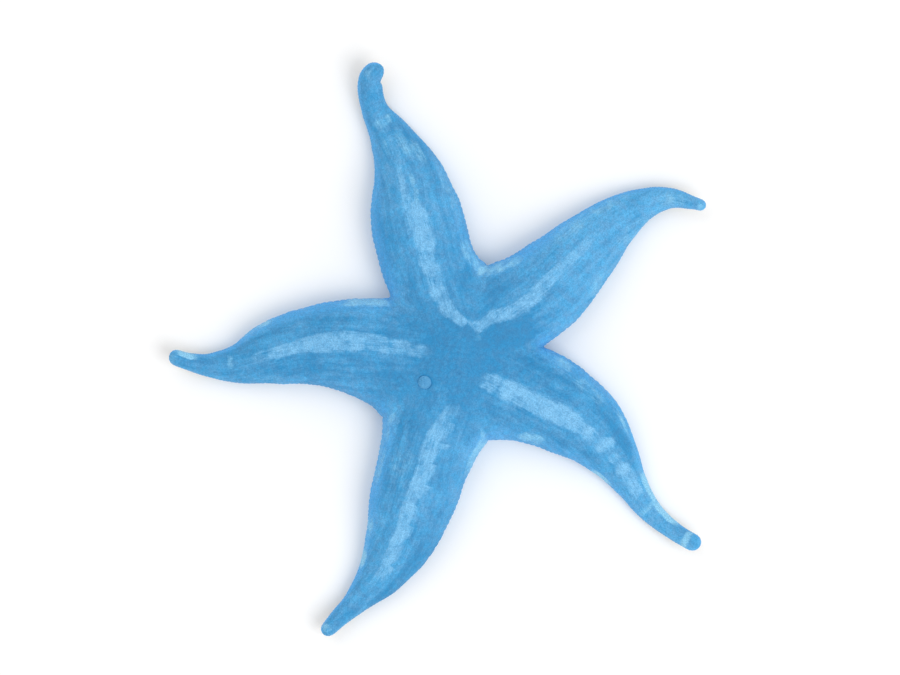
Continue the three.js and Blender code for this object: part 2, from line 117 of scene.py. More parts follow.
NOTCH_TRIALS = (60, 0.02)  # stations tried for an arm's notch: the last, and their step
TANGENT_STEP = 0.05  # a midline's direction is taken over so much either way
DISC_ROWS = 46  # from the disc's axis to the notches
ROW_STEP = 0.52  # between rows of the skin's mesh along an arm
OVER_STEP = 0.5  # between its points across the back
UNDER_STEP = 0.8  # and across the underside
LEAST_ACROSS = 6  # steps across a section
STEEP_POINTS = 60  # of a section's outline where it is steep, before the steps are evened out
FLAT_POINTS = 30  # and along its flat sole
MERGED_DIGITS = 3  # points that are alike to so many decimals are one
LIP = 1.0  # the groove's lips stand off the floor
LIP_RUN = 2.4
LIP_RUN_SHARE = 0.6  # the lips end within this share of the way to an arm's edge
LEAST_WAY = 0.01  # least way from the groove to the edge, as a share
PLATE_PITCH = (0.95, 0.088)  # spacing of the plates: least, and gained per millimetre of half-width
PLATE_GAP = 0.84  # least distance between scattered plates, as a share of that spacing
ROW_CLOSER = 0.86  # spacing in the rows, as a share of it
UNDER_CLOSER = 0.85  # spacing on the underside, as a share of it
EDGE_ROW_FROM = 0.75  # a row along an edge starts at this share of the way to the notch
EDGE_ROW_INSET = 0.5  # and lies so far inside the edge, in spacings
CREST_ROW_FROM = 7  # station where the row along the crest starts
CREST_ROW_ASIDE = 0.12  # and how far it lies beside the midline, in spacings
ROWS_BEFORE_END = 1.5  # the rows stop so far before an arm's end
ARM_APART = 500  # keeps the arms apart where skin is looked up by station
DOME_REACH = 0.66  # of a plate from its middle, as a share of it
SEAM_REACH = 0.34  # of the seam between two plates
PORE_REACH = 0.42  # of the pore between three
PLATE_RISE = 0.23  # where the arm is as wide as usual
PLATE_LEVEL = 0.55  # how far up its dome a plate is level with the body wall
UNDER_RISE = 0.24
PORE_DEPTH = 0.1
USUAL_HALF = 17  # half the usual width of an arm
SWELL = 0.3  # slow unevenness of the body wall
SWELL_RUNS = (9, 4)  # from one swelling to the next
SWELL_SHIFT = (31, 7, 3)  # between the noises of the two runs
FLOW_APART = (40, 7)  # keep the streaks of the arms, and of back and underside, apart
SOFTENING = (0.04, 0.44)  # of the skin at each round of relaxing: everywhere, and in the valleys too
RELAX_ROUNDS = 40
VALLEY_RUN = 7  # the valleys end so far beyond the notches
VALLEY_SHARES = (0.5, 0.95)  # and come in between these shares
MOUTH_RECESS = 1.5  # how far the skin draws back above the mouth
MOUTH_EDGE = (0.6, -0.6)  # where that starts and is full, beyond the mouth
SEAT_DEPTH = 0.3  # of the skin under the madreporite
SEAT_EDGE = (0.55, 0.05)  # where that starts and is full, beyond the madreporite
COLLAR = (0.9, 0.7, 0.1)  # skin raised round it: place beyond it, width and height
COLLAR_CALM = 0.6  # share of the relief that the collar takes away
ANUS_PIT = (0.55, 0.55)  # depth and width
ANUS_RING = (0.22, 1.3, 0.5)  # skin raised round it: height, radius and width
UV_SPAN = 276  # millimetres that one side of the UV square stands for
UV_PITCH = 55  # between the strips of neighbouring arms
UV_ROW = 136  # from an underside's strip to a back's
UV_MARGIN = 4  # before a strip's start
UV_PATCH = 0.003  # side of the patch of the UV square that one foot or spine has

# ---------------- feet, spines and mouth

FOOT_FROM = (6.4, 7.2)  # station of the first tube feet: least and most
FEET_BEFORE_END = 1.7  # the last ones lie so far before an arm's end, in roundings of that end
FOOT_PITCH = (0.8, 0.56)  # along a row: least, and as a share of the groove's half-width
FOOT_PLACE = 0.46  # of a row, as a share of it
FOOT_STRAY = (0.15, 0.07)  # of a root along the arm, and across as a share
FOOT_SUNK = 0.7  # depth of the roots in the body, where the groove is full size
FOOT_LIFT = (0.25, 1.2)  # of a sucker above the floor: least and most
FOOT_LIFT_SHARE = 0.45  # and at most so much of the groove's height there
FOOT_SPLAY = (-0.1, 0.16)  # of a sucker outwards, as a share of the groove's half-width
FOOT_LEAN = 0.14  # of a sucker along the arm, likewise
FOOT_BOW = 0.12  # of the shaft, likewise
FOOT_RADIUS = 0.265  # of a sucker, likewise
FOOT_SIZES = (0.88, 1.08)
FOOT_SIDES = 12
# Rings of a tube foot from its root: share of its length, or how far before its end in sucker
# radii, and the ring's radius as a share of the sucker's.
SHAFT_RINGS = [(0, 0.7), (0.2, 0.66), (0.3, 0.56), (0.4, 0.65), (0.5, 0.55), (0.6, 0.64), (0.7, 0.54)]
SHAFT_SHARE = 0.76  # of the run from a foot's root to its sucker
SUCKER_RINGS = [
    (1.3, 0.6), (0.8, 0.52), (0.4, 0.68), (0.2, 0.92), (0.07, 1), (0, 0.86), (0.16, 0.64), (0.3, 0.4),
]
SUCKER_CUP = 0.36  # depth of the middle of the cup, in sucker radii
SPINE_PITCH = 1.5  # of the plates that carry the groove's spinelets, at full size
SPINE_LEAST = 0.36  # least size of a spinelet, as a share of full size
SPINE_SIDES = 6
SPINE_RINGS = [(0, 0.9), (0.45, 1), (0.8, 0.92), (0.96, 0.6)]  # share of the length, of the radius
SPINES_FROM = 8.6  # station of the first plate with spinelets
SPINES_BEFORE_END = 1.2  # the last one lies so far before an arm's end, in roundings of that end
SPINE_STRAY = 0.08  # of a root along its plate
SPINE_SUNK = 0.22  # depth of the roots in the body
SPINE_DROP = 0.8  # how far spinelets point downwards
SPINE_SWING = 0.15  # and along the arm
SPINE_LENGTHS = (0.85, 1.1)
SPINE_RADII = (0.9, 1.1)
# Spinelets of a plate at full size: place along it, distance beyond the groove's edge, lean
# towards the groove, length and radius.
SPINELETS = [
    (-0.27, 0.05, 0.6, 1.25, 0.27), (0.27, 0.05, 0.6, 1.2, 0.27),
    (0, 1.05, -0.3, 0.62, 0.36), (0.4, 1.9, -0.5, 0.5, 0.3),
]
# Two fans of spines on each jaw, as multiples of a spread and a turn: distance of the roots from
# the disc's axis, their height, spread and turn, and the spines' rise, length and radius.
JAW_FANS = [
    ((-1, -0.5, 0, 0.5, 1), 9.6, 1.25, 1.75, 0.16, 0.08, 4.6, 0.44),
    ((-1.5, -0.5, 0.5, 1.5), 10.5, 0.9, 1.15, 0.2, -0.14, 2.6, 0.4),
]
JAW_SHORTENING = 0.16  # of the outer spines of a fan
JAW_LENGTHS = (0.94, 1.04)
JAW_UV_ASIDE = 5  # place of their UV patches beside the arm's midline
LEAST_CLEARANCE = 0.02  # of feet and spines above the floor
TURN_MOST = 6  # random turn of a foot or spine about itself, in radians
LIP_FOLDS = 20  # radial folds of the skin round the mouth
LIP_RADIUS = 2.2  # of the ring where that skin hangs lowest
PERISTOME_RADIUS = 3.7  # of the whole skin round the mouth
PERISTOME_HEIGHT = 5  # of the skin at that ring, above the floor
PERISTOME_RISES = [(1.6, 1.5), (1.2, 1.2)]  # of the skin inside and outside that ring: height, run
PERISTOME_BACK = 8  # height of its hidden back
PERISTOME_EDGE = (7.2, 0.1)  # height of its outer edge, and how far the back's edge lies inside
PERISTOME_RINGS = 29
FOLD_SIDES = 6  # points round each fold
FOLD_DEPTH = 0.17
FOLD_INNER = (0.35, 1.25)  # radii between which the folds come in
FOLD_OUTER = (0.1, 0.9)  # distances from the edge between which they do so again
FOLD_WAVES = (0.1, 3, 1.1)  # their waviness: turn, how many round, and change with the radius
SIEVE_DOME = (0.7, -0.1)  # rise of the madreporite's middle above its edge, and the edge's height
SIEVE_CURVE = (2.2, 0.8)  # exponents of the dome's outline
SIEVE_GAP = 0.05  # between its edge and its seat
SIEVE_SEAT_STEP = 0.05  # shares before and beyond it that give the valley's slope
SIEVE_GROOVE = 0.055  # half the depth of its winding grooves
SIEVE_FORKS = (9, 20, 41)  # how many there are near its middle, further out, and at its edge
SIEVE_FORKS_AT = ((0.3, 0.46), (0.62, 0.78))  # shares of its radius between which they fork
SIEVE_CALM = (0.14, 0.9)  # the grooves are full between these shares of its radius
SIEVE_WARPS = ((1.5, 2.6, 5), (0.5, 6, 9))  # their windings: strength, noise scale and level
SIEVE_TURN = (0.35, 2)  # turn and phase that a winding gives
SIEVE_RINGS = 33
SIEVE_FLAT = 0.94  # share of its radius that those rings cover
SIEVE_EDGE = (0.97, 0.99, 1, 1)  # the last rings
SIEVE_SIDES = 264
SIEVE_ROOT = 1.2  # how far it reaches into the body
EYE_CUPS = 70  # small cups that make up an eye spot
EYE_CUP = (0.09, 0.07)  # width and depth of a cup, in radii of the eye spot
EYE_GRID = (22, 30)  # rings and sides
GOLDEN_TURN = math.pi * (1 + 5**0.5)  # sets the cups evenly over a ball

# ---------------- the markings, and the painted highlights and rim light

# The pale band down each arm's crest, partly a marking and partly a painted highlight along the crest:
# station, offset from the midline, half-width, strength.
BANDS = {
    "a": [
        (9.8, 5.4, 0.8, 0), (10.6, 5.2, 1.8, 0.5), (11.2, 4.6, 2.4, 0.62), (12.2, 3.4, 2.6, 0.62),
        (13.5, 2.8, 2.4, 0.6), (16.5, 2.5, 2.3, 0.56), (20, 1.8, 2.6, 0.62), (26, -0.4, 3, 0.6),
        (32, -1, 3.3, 0.6), (38, 0, 3.1, 0.66), (44, 1.2, 2.6, 0.58), (50, 1.7, 2.3, 0.56),
        (56, 1.4, 2.1, 0.54), (62, 1.2, 1.9, 0.5), (68, 1.4, 1.6, 0.36), (78, 2, 1, 0),
    ],
    "b": [
        (11, -4.4, 2.4, 0), (14, -4.4, 3.2, 0.5), (17, -4.3, 3.6, 0.72), (19.7, -4.3, 3.1, 0.34),
        (23, -4.2, 4.2, 0.85), (27, -3.8, 4.2, 0.56), (32, -3.4, 4.1, 0.68), (38, -2.6, 4, 0.78),
        (44, -2.1, 4, 0.8), (47.6, -2, 3.6, 0.62), (51, -1.7, 3.7, 0.82), (54.5, -1.7, 2.6, 0.5),
        (58.5, -1.7, 3, 0.76), (62, -1.3, 2, 0.34), (65.5, 0.5, 4.3, 0.84), (69, -0.2, 1.8, 0.28),
        (71.5, -0.2, 2.4, 0.6), (73.7, 0, 1.7, 0.36), (76.5, 0.4, 3.1, 0.8), (80, 0.6, 2.8, 0.5),
        (83.5, 0.6, 3, 0.54), (88, 0, 2.5, 0.5), (91, -0.4, 1.6, 0.2), (95, -0.8, 1, 0),
    ],
    "c": [
        (16.5, 4.6, 1.8, 0), (21, 3.8, 2.4, 0.4), (26, 2.2, 3, 0.55), (32, 1.2, 3.3, 0.62),
        (38, 0.2, 2.8, 0.6), (44, 0.6, 2.9, 0.66), (50, -0.1, 2.9, 0.66), (56, -1, 2.4, 0.66),
        (62, -1.1, 2.4, 0.7), (68, -0.6, 2.3, 0.72), (74, -1, 2.1, 0.64), (80, -0.8, 2.1, 0.58),
        (86, 0, 1.8, 0.4), (90, 0, 1.8, 0.38), (98, -0.4, 1.1, 0),
    ],
    "d": [
        (7.5, 0.4, 1.8, 0), (13, 0, 2.9, 0.42), (20, -0.6, 2.9, 0.52), (26, -0.6, 3.1, 0.56),
        (32, -1.4, 3.3, 0.58), (38, -1.2, 3.9, 0.62), (44, -1.5, 3.8, 0.64), (50, -0.6, 3.7, 0.64),
        (56, -0.5, 3, 0.58), (62, -0.1, 2.5, 0.58), (68, 0.3, 2.3, 0.52), (73, 0, 2.2, 0.46),
        (77, 0.2, 1.7, 0.26), (82, 0.6, 1.2, 0),
    ],
    "e": [
        (8.8, -6.4, 1.2, 0), (10.2, -6.8, 1.8, 0.62), (12.5, -5.1, 2.3, 0.58), (17.5, -2.4, 2.8, 0.56),
        (21.5, -1.9, 3, 0.58), (26, -0.9, 3, 0.56), (32, -0.8, 3.4, 0.44), (38, -0.3, 2.9, 0.56),
        (44, -1.6, 3.4, 0.64), (50, -1.1, 3.8, 0.66), (54, -0.9, 3.9, 0.66), (57.5, -0.4, 3.7, 0.64),
        (61.5, 2.1, 1.8, 0.6), (66, 2.7, 1.2, 0.58), (72, 2.6, 1.1, 0.48), (77, 1.6, 1.4, 0.3),
        (81, 0.3, 1.8, 0.26), (86, 0.2, 1.5, 0.22), (95, -0.5, 1.3, 0),
    ],
}
TEETH = {"c": (8.2, 1), "e": (7.1, 0.3)}  # a band's toothed left side: spacing, reach as a share

# Painted highlights, pale patches beside the bands: first and last station, share across, its half-width,
# strength.
HIGHLIGHT_PATCHES = {
    "a": [
        (7.5, 13, 0.12, 0.3, 0.25), (24, 45, 0.86, 0.1, 0.6), (25, 31.5, 1, 0.14, 0.7),
        (42, 100, 0.72, 0.18, 0.34), (48, 68, -0.86, 0.13, 0.35), (62, 112, -0.74, 0.28, 0.32),
        (94, 114, -0.1, 0.6, 0.34), (112.4, 116, -0.6, 0.7, 0.5),
    ],
    "b": [
        (30, 44, 0.86, 0.09, 0.5), (33, 48, -0.85, 0.1, 0.6), (37, 62, 0.72, 0.12, 0.3),
        (56, 71, 0.86, 0.05, 0.5), (68, 82, -0.93, 0.08, 1), (78, 100, 0.84, 0.2, 1),
        (90, 112, 0.76, 0.28, 0.95), (92.6, 97, -0.1, 0.7, 0.5), (112, 116.4, 0, 1, 0.85),
    ],
    "c": [
        (8, 16, -0.1, 0.4, 0.16), (23, 32, -0.86, 0.06, 0.6), (21, 45, 0.94, 0.07, 0.7),
        (22, 62, -0.94, 0.1, 0.42), (57, 90, -0.93, 0.1, 0.4), (30, 64, -0.42, 0.26, 0.24),
        (80, 92, -0.95, 0.12, 0.95), (114.5, 119, -0.2, 0.7, 0.6),
    ],
    "d": [
        (22, 47, -0.92, 0.09, 0.8), (58, 95, 0.8, 0.08, 0.2), (63, 80, -0.94, 0.08, 0.55),
        (84.5, 89, -0.1, 0.4, 0.35), (98.5, 111.4, -0.74, 0.42, 1), (107.5, 112, 0.3, 0.7, 0.4),
    ],
    "e": [
        (23.5, 30, -1, 0.14, 0.7), (24, 46, -0.86, 0.1, 0.5), (42, 78, -0.84, 0.1, 0.24),
        (55, 73.5, -0.085, 0.07, 0.54), (72, 92, -0.34, 0.2, 0.34), (74, 90, 0.4, 0.1, 0.3),
        (70, 84, -0.6, 0.14, 0.4), (90, 97, -0.1, 0.6, 0.45), (110, 116, 0.1, 0.6, 0.3),
    ],
}
# Darker patches, in the same way. Their strength is taken off the tone.
SHADES = {
    "a": [(10, 34, -0.45, 0.5, 0.44)],
    "b": [(48, 84, 0.62, 0.2, 0.4)],
    "c": [(48, 116, 0.84, 0.26, 0.42)],
    "d": [(21, 36, 0.85, 0.16, 0.4), (68, 86, 0.9, 0.12, 0.3)],
    "e": [(22, 92, 0.86, 0.16, 0.34), (58, 114, -0.86, 0.26, 0.34)],
}
# How much lighter or darker an arm is than the rest, along its middle and at its tip.
ARM_TONE = {
    "a": (0.24, 0.24), "b": (0.02, 0.14), "c": (0.06, -0.06), "d": (-0.08, -0.14), "e": (0.1, -0.12),
}
ARM_TONE_FROM = (20, 60)  # stations between which that comes in
TIP_TONE_FROM = (72, 96)
TONE_ALONG = ((0, 12, 40, 80, 120), (0.04, 0.12, 0.34, 0.45, 0.5))  # stations, and the tone there
EDGE_SHARES = (0.55, 1)  # shares between which an arm's edge comes in
EDGE_TONE = (0.22, 16, 42)  # tone gained at the edges, and the stations between which it comes in
NOTCH_TONE = (0.5, 28, 9)  # tone gained at the notches' edges, its station and width
BAND_EDGE = (1.36, 0.64)  # where a band fades in, in half-widths from its middle
PATCH_EDGE = (1.6, 0.6)  # where a patch fades in across the arm, likewise
PATCH_EASE = 0.38  # share of its length over which it does so at either end
HIGHLIGHTS_FROM = (0.92, 1)  # shares between which the painted highlights come in on the underside
RIM_LIGHT_SIDE = (-0.71, 0.71, 0)  # painted rim light: rims that face this way, away from the key lamp, are a keener blue
RIM_LIGHT_FROM = 8  # beyond the notch, where that counts in full
RIM_LIGHT_SHARES = (0.6, 1)  # shares between which the painted rim light comes in
OUTER_FROM = (0.7, 1)  # shares of the way to the notch between which an arm has edges
LIP_TINT = (3.2, 0.2)  # distances beyond the groove between which its cream lip comes in
ORAL_TINT = (0.94, 0.69)  # shares between which the underside's paler blue comes in
END_RUN = 0.7  # both fade out over this run before an arm's end, in roundings of that end
STREAKS_FROM = (5, 19)  # stations between which the streaks along the arms come in
NO_STREAKS = (2, -6)  # distances beyond the notch between which they go in the valleys
NO_STREAK_SHARES = (0.55, 0.95)  # and the shares
ANUS = (0.6, -6.3)  # place of the small pore on the back, from the disc's axis

UP = np.array([0.0, 0.0, 1.0])
draws = np.random.default_rng(SEED)


# ---------------- sections of the body


def lerp(start, end, t):
    return start + (end - start) * t


def smooth(t):
    t = np.clip(t, 0, 1)
    return t * t * (3 - 2 * t)


def ease(value, start, full):
    """Rises smoothly from 0 at the start to 1 where it is full, which may be lower than the start."""
    return smooth((value - start) / (full - start))


def unit(vectors):
    return vectors / np.linalg.norm(vectors, axis=-1, keepdims=True)


def quarter_round(t):
    return 1 - np.sqrt(np.maximum(0, 1 - t * t))


def bell(value, middle, width):
    return np.exp(-(((value - middle) / width) ** 2))


def noise_at(x, y, z):
    places = np.stack(np.broadcast_arrays(x, y, z), axis=-1)
    values = [noise.noise(Vector(p)) for p in places.reshape(-1, 3)]
    return np.array(values).reshape(places.shape[:-1])


def sums_by(owners, vectors, count):
    """The sum of the vectors that belong to each owner."""
    return np.column_stack([np.bincount(owners, vectors[:, axis], count) for axis in range(3)])


def crest_height(half):
    return ARM_LEAST_HEIGHT + ARM_RISE * half


class Arm:
    """An arm's midline and half-width as a smooth curve, and its left and right notches."""

    def __init__(self, index, letter):
        self.index = index
        self.letter = letter
        self.lift = LIFTS[letter]
        self.rows = np.array(ARMS[letter], float)
        steps = np.linalg.norm(np.diff(self.rows[:, :2], axis=0), axis=1)
        self.stations = np.concatenate([[0], np.cumsum(steps)])
        self.length = self.stations[-1]
        order = np.arange(len(self.rows))
        before = np.maximum(order - 1, 0)
        after = np.minimum(order + 1, order[-1])
        run = self.stations[after] - self.stations[before]
        self.slopes = (self.rows[after] - self.rows[before]) / run[:, None]
        notches = [row for name, row in NOTCHES.items() if name.endswith(letter)]
        notches += [row for name, row in NOTCHES.items() if name.startswith(letter)]
        self.corners = [np.array([x, y, 0.0]) for x, y, *_ in notches]
        self.webs = [unit(corner) * row[3] for corner, row in zip(self.corners, notches)]
        self.edges = [corner + web for corner, web in zip(self.corners, self.webs)]
        self.runs = [(run, web_run) for _, _, run, _, web_run in notches]
        trial = np.arange(0, *NOTCH_TRIALS)
        chord = self.corners[0] - self.corners[1]
        seen = self.midline(trial) - self.corners[1]
        self.notch = trial[np.argmax(chord[0] * seen[:, 1] - chord[1] * seen[:, 0] < 0)]
        self.rounding = self.half_at(self.length)

    def at(self, station):
        i = np.clip(np.searchsorted(self.stations, station, side="right") - 1, 0, len(self.rows) - 2)
        span = (self.stations[i + 1] - self.stations[i])[:, None]
        t = (station - self.stations[i])[:, None] / span
        start = self.rows[i] * (1 + 2 * t) * (1 - t) ** 2 + self.slopes[i] * span * t * (1 - t) ** 2
        end = self.rows[i + 1] * t * t * (3 - 2 * t) + self.slopes[i + 1] * span * t * t * (t - 1)
        return start + end

    def midline(self, station):
        return np.c_[self.at(station)[:, :2], np.zeros(len(station))]

    def half(self, station):
        return self.at(station)[:, 2]

    def half_at(self, station):
        """The half-width at one station alone."""
        return self.half(np.array([station]))[0]

    def left_of(self, station):
        ahead = self.midline(np.minimum(station + TANGENT_STEP, self.length))
        forward = unit(ahead - self.midline(station - TANGENT_STEP))
        return np.c_[-forward[:, 1], forward[:, 0], forward[:, 2]]


arms = [Arm(i, letter) for i, letter in enumerate(ARMS)]


class Sections:
    """Sections across an arm, one for each station. Inside the notches they bend towards them, so
    that neighbouring arms share the edges."""

    def __init__(self, arm, stations):
        self.stations = stations
        self.share = np.minimum(stations / arm.notch, 1)
        self.inside = stations < arm.notch - TINY
        self.half = arm.half(stations)
        self.lay_out(arm)
        self.set_heights(arm)
        self.set_groove()
        into_end = np.maximum(0, stations - arm.length + arm.rounding) / arm.rounding
        self.shrink = np.sqrt(np.maximum(0, 1 - into_end**2))

    def lay_out(self, arm):
        """Sets where the sections lie, their two edges, and how they lean where the arm lifts."""
        self.across = arm.left_of(self.stations)
        self.forward = np.c_[self.across[:, 1], -self.across[:, 0], np.zeros(len(self.stations))]
        self.origin = arm.midline(self.stations)
        self.left = self.edge(arm, 0, 1)
        self.right = self.edge(arm, 1, -1)
        lift_from = LIFT_FROM * arm.length
        climb = np.maximum(0, self.stations - lift_from) / (arm.length - lift_from)
        slope = 2 * arm.lift * climb / (arm.length - lift_from)
        self.origin[:, 2] = arm.lift * climb * climb
        self.up = unit(UP - self.forward * slope[:, None])

    def edge(self, arm, i, side):
        """From the midline to the edge on one side, which bends towards the notch there."""
        at_notch = np.array([arm.notch])
        straight = arm.left_of(at_notch)[0] * side * arm.half(at_notch)[0]
        drawn = arm.corners[i] - arm.midline(at_notch)[0] - straight
        run, web_run = arm.runs[i]
        beyond = self.across * (side * self.half)[:, None] + drawn * self.fading(arm, run)[:, None]
        beyond += arm.webs[i] * self.fading(arm, web_run)[:, None]
        return np.where(self.inside[:, None], arm.edges[i] * self.share[:, None] - self.origin, beyond)

    def fading(self, arm, run):
        return np.clip(1 - (self.stations - arm.notch) / run, 0, 1) ** 2

    def set_heights(self, arm):
        """Sets the heights of the crest and of the rims, and how round the back is."""
        inside, share = self.inside, self.share
        crest = crest_height(self.half)
        notch_crest = crest_height(arm.half_at(arm.notch))
        rim = RIM_SHARE * crest + (NOTCH_RIM - RIM_SHARE * notch_crest) * self.fading(arm, RIM_EASE)
        fall = (1 - share ** DISC_FALL[0]) ** DISC_FALL[1]
        into_round = quarter_round(np.maximum(0, share - DISC_SOLE) / (1 - DISC_SOLE))
        self.crest = np.where(inside, lerp(DISC_HEIGHT, notch_crest, smooth(share)), crest)
        self.rim_over = np.where(inside, lerp(NOTCH_RIM, DISC_HEIGHT, fall), rim)
        self.rim_under = np.where(inside, NOTCH_RIM * into_round, rim)
        self.roundness = np.where(inside, lerp(CENTRE_ROUNDNESS, ARM_ROUNDNESS, share), ARM_ROUNDNESS)

    def set_groove(self):
        """Sets the reach of a share of 1 on the underside, and the groove's half-width and depth."""
        disc_reach = self.share * NOTCH_RADIUS * math.sin(math.pi / len(ARMS))
        self.reach = np.where(self.inside, np.maximum(disc_reach, TINY), self.half)
        arm_groove = np.minimum(GROOVE_HALF / self.half, GROOVE_HALF_SHARE)
        self.groove = np.where(self.inside, GROOVE_HALF / self.reach, arm_groove)
        arm_depth = np.minimum(GROOVE_DEPTH, GROOVE_DEPTH_SHARE * crest_height(self.half))
        self.depth = np.where(self.inside, GROOVE_DEPTH, arm_depth)

    def over(self, shares):
        arch = (1 - np.minimum(1, shares**2)) ** self.roundness[:, None]
        return self.rim_over[:, None] + (self.crest - self.rim_over)[:, None] * arch

    def under(self, shares):
        share = np.abs(shares)
        groove, depth = self.groove[:, None], self.depth[:, None]
        lip = LIP * depth / GROOVE_DEPTH
        roof = lip + (depth - lip) * np.sqrt(np.maximum(0, 1 - (share / groove) ** 2))
        run = np.minimum(LIP_RUN, LIP_RUN_SHARE * np.maximum(1 - groove, LEAST_WAY) * self.reach[:, None])
        off = np.clip(1 - (share - groove) * self.reach[:, None] / run, 0, 1)
        rounding = quarter_round(np.clip((share - SOLE_SHARE) / (1 - SOLE_SHARE), 0, 1))
        return np.where(share < groove, roof, lip * off * off + self.rim_under[:, None] * rounding)

    def surface(self, shares, over, lower=0):
        """Points of the back or the underside, or others so much lower."""
        return self.points(shares, (self.over(shares) if over else self.under(shares)) - lower)

    def points(self, shares, heights):
        side = np.where((shares > 0)[..., None], self.left[:, None], self.right[:, None])
        shrink = self.shrink[:, None]
        height = lerp(self.rim_over[:, None], heights, shrink)
        out = side * (np.abs(shares) * shrink)[..., None]
        return self.origin[:, None] + out + self.up[:, None] * height[..., None]


def rows_along(arm):
    """Stations of the rows of the skin's mesh, which close up in the rounding at the arm's end."""
    disc = np.linspace(0, arm.notch, DISC_ROWS + 1)
    end = arm.length - arm.rounding
    straight = np.linspace(arm.notch, end, round((end - arm.notch) / ROW_STEP) + 1)
    angles = np.linspace(0, math.pi / 2, math.ceil(arm.rounding * math.pi / 2 / ROW_STEP) + 1)
    return np.concatenate([disc, straight[1:], end + arm.rounding * np.sin(angles[1:])])


def dense_shares(sections, over):
    """Many shares across each section, close together where its outline is steep."""
    turn = np.sin(np.linspace(0, math.pi / 2, STEEP_POINTS))
    if over:
        half = np.tile(turn, (len(sections.stations), 1))
    else:
        groove = np.minimum(sections.groove, 1)[:, None]
        sole = np.maximum(SOLE_SHARE, groove)
        flat = np.linspace(0, 1, FLAT_POINTS)[None, 1:]
        parts = [turn[None] * groove, lerp(groove, sole, flat), lerp(sole, 1.0, turn[None, 1:])]
        half = np.hstack(parts)
    return np.hstack([-half[:, :0:-1], half])


# ---------------- the skin's mesh


class Sheet:
    """Rows of points over or under one arm, evenly spaced along each section's outline. Each row of
    its table has a point's place, station, share, distance round the outline from its middle, and
    half the outline's length."""

    def __init__(self, arm, over, first):
        sections = Sections(arm, rows_along(arm))
        shares = dense_shares(sections, over)
        gaps = np.linalg.norm(np.diff(sections.surface(shares, over), axis=1), axis=2)
        run = np.hstack([np.zeros((len(gaps), 1)), np.cumsum(gaps, axis=1)])
        step = OVER_STEP if over else UNDER_STEP
        rows, self.starts, self.counts = [], [], []
        for i, station in enumerate(sections.stations):
            total = run[i, -1]
            count = max(LEAST_ACROSS, round(total / step)) if total > TINY else 0
            along = np.linspace(0, total, count + 1)
            across = np.interp(along, run[i], shares[i]) if count else np.zeros(1)
            middle = np.interp(0, shares[i], run[i])
            place = Sections(arm, np.full(1, station)).surface(across[None], over)[0]
            self.starts.append(first)
            self.counts.append(count)
            first += count + 1
            facts = [np.full(count + 1, station), across, along - middle, np.full(count + 1, total / 2)]
            rows.append(np.column_stack([place, *facts]))
        self.table = np.vstack(rows)
        self.end = first
        self.over = over
        self.arm = arm

    def triangles(self):
        found = []
        for i in range(len(self.starts) - 1):
            found.append(zipped(self.starts[i], self.counts[i], self.starts[i + 1], self.counts[i + 1]))
        faces = np.vstack(found)
        return faces if self.over else faces[:, ::-1]


def zipped(start, count, next_start, next_count):
    """Triangles between two rows of points of different counts. They face up."""
    ends = np.arange(1, count + 1) / max(count, 1)
    next_ends = np.arange(1, next_count + 1) / max(next_count, 1)
    ahead = np.searchsorted(next_ends, ends - TINY)
    k = np.arange(count)
    near = np.column_stack([start + k, next_start + ahead, start + k + 1])
    behind = np.searchsorted(ends, next_ends + TINY)
    j = np.arange(next_count)
    far = np.column_stack([next_start + j, next_start + j + 1, start + behind])
    return np.vstack([near, far])


def proper_ones(faces):
    """Says which triangles have three different corners."""
    return (np.diff(np.sort(faces, axis=1), axis=1) > 0).all(axis=1)


class Skin:
    """The merged points and triangles of all the sheets, with what is known of each point."""

    def __init__(self):
        sheets = []
        for arm in arms:
            for over in (True, False):
                sheets.append(Sheet(arm, over, sheets[-1].end if sheets else 0))
        table = np.vstack([sheet.table for sheet in sheets])
        self.raw = table[:, :3]
        self.station, self.share, self.around, self.around_half = table[:, 3:].T
        sizes = [len(sheet.table) for sheet in sheets]
        self.arm = np.repeat([sheet.arm.index for sheet in sheets], sizes)
        self.is_over = np.repeat([sheet.over for sheet in sheets], sizes)
        faces = np.vstack([sheet.triangles() for sheet in sheets])
        key = np.round(self.raw, MERGED_DIGITS) + 0.0  # turns -0.0 into 0.0
        _, self.first, merged = np.unique(key, axis=0, return_index=True, return_inverse=True)
        self.merged = merged.reshape(-1)
        corners = self.merged[faces]
        proper = proper_ones(corners)
        self.corners = faces[proper]
        self.faces = corners[proper]
        self.points = self.raw[self.first].copy()
        self.half = np.zeros(len(self.raw))
        for arm in arms:
            mine = self.arm == arm.index
            self.half[mine] = arm.half(self.station[mine])

    def of_points(self, values):
        """Values of the separate sheets' points, for the merged ones."""
        return values[self.first]

    def edges(self):
        pairs = np.vstack([self.faces[:, pair] for pair in ([0, 1], [1, 2], [2, 0])])
        return np.unique(np.sort(pairs), axis=0)

    def relax(self, weight, rounds):
        """Draws each point towards the middle of its neighbours."""
        edges = self.edges()
        ends = np.concatenate([edges[:, 0], edges[:, 1]])
        others = np.concatenate([edges[:, 1], edges[:, 0]])
        count = np.bincount(ends, minlength=len(self.points))
        for _ in range(rounds):
            middle = sums_by(ends, self.points[others], len(count)) / count[:, None]
            self.points += weight[:, None] * (middle - self.points)

    def normals(self):
        a, b, c = (self.points[self.faces[:, i]] for i in range(3))
        face = np.cross(b - a, c - a)
        return unit(sums_by(self.faces.T.ravel(), np.tile(face, (3, 1)), len(self.points)))


def uv_of(arm_index, over, station, around):
    """Place on the unwrapped skin. Each arm's back and underside is a strip, laid out flat."""
    column = UV_PITCH * (arm_index + 0.5)
    row = np.where(over, UV_ROW, 0) + UV_MARGIN
    return np.column_stack([(column + around) / UV_SPAN, (row + station) / UV_SPAN])


def plate_pitch(half):
    return PLATE_PITCH[0] + PLATE_PITCH[1] * half


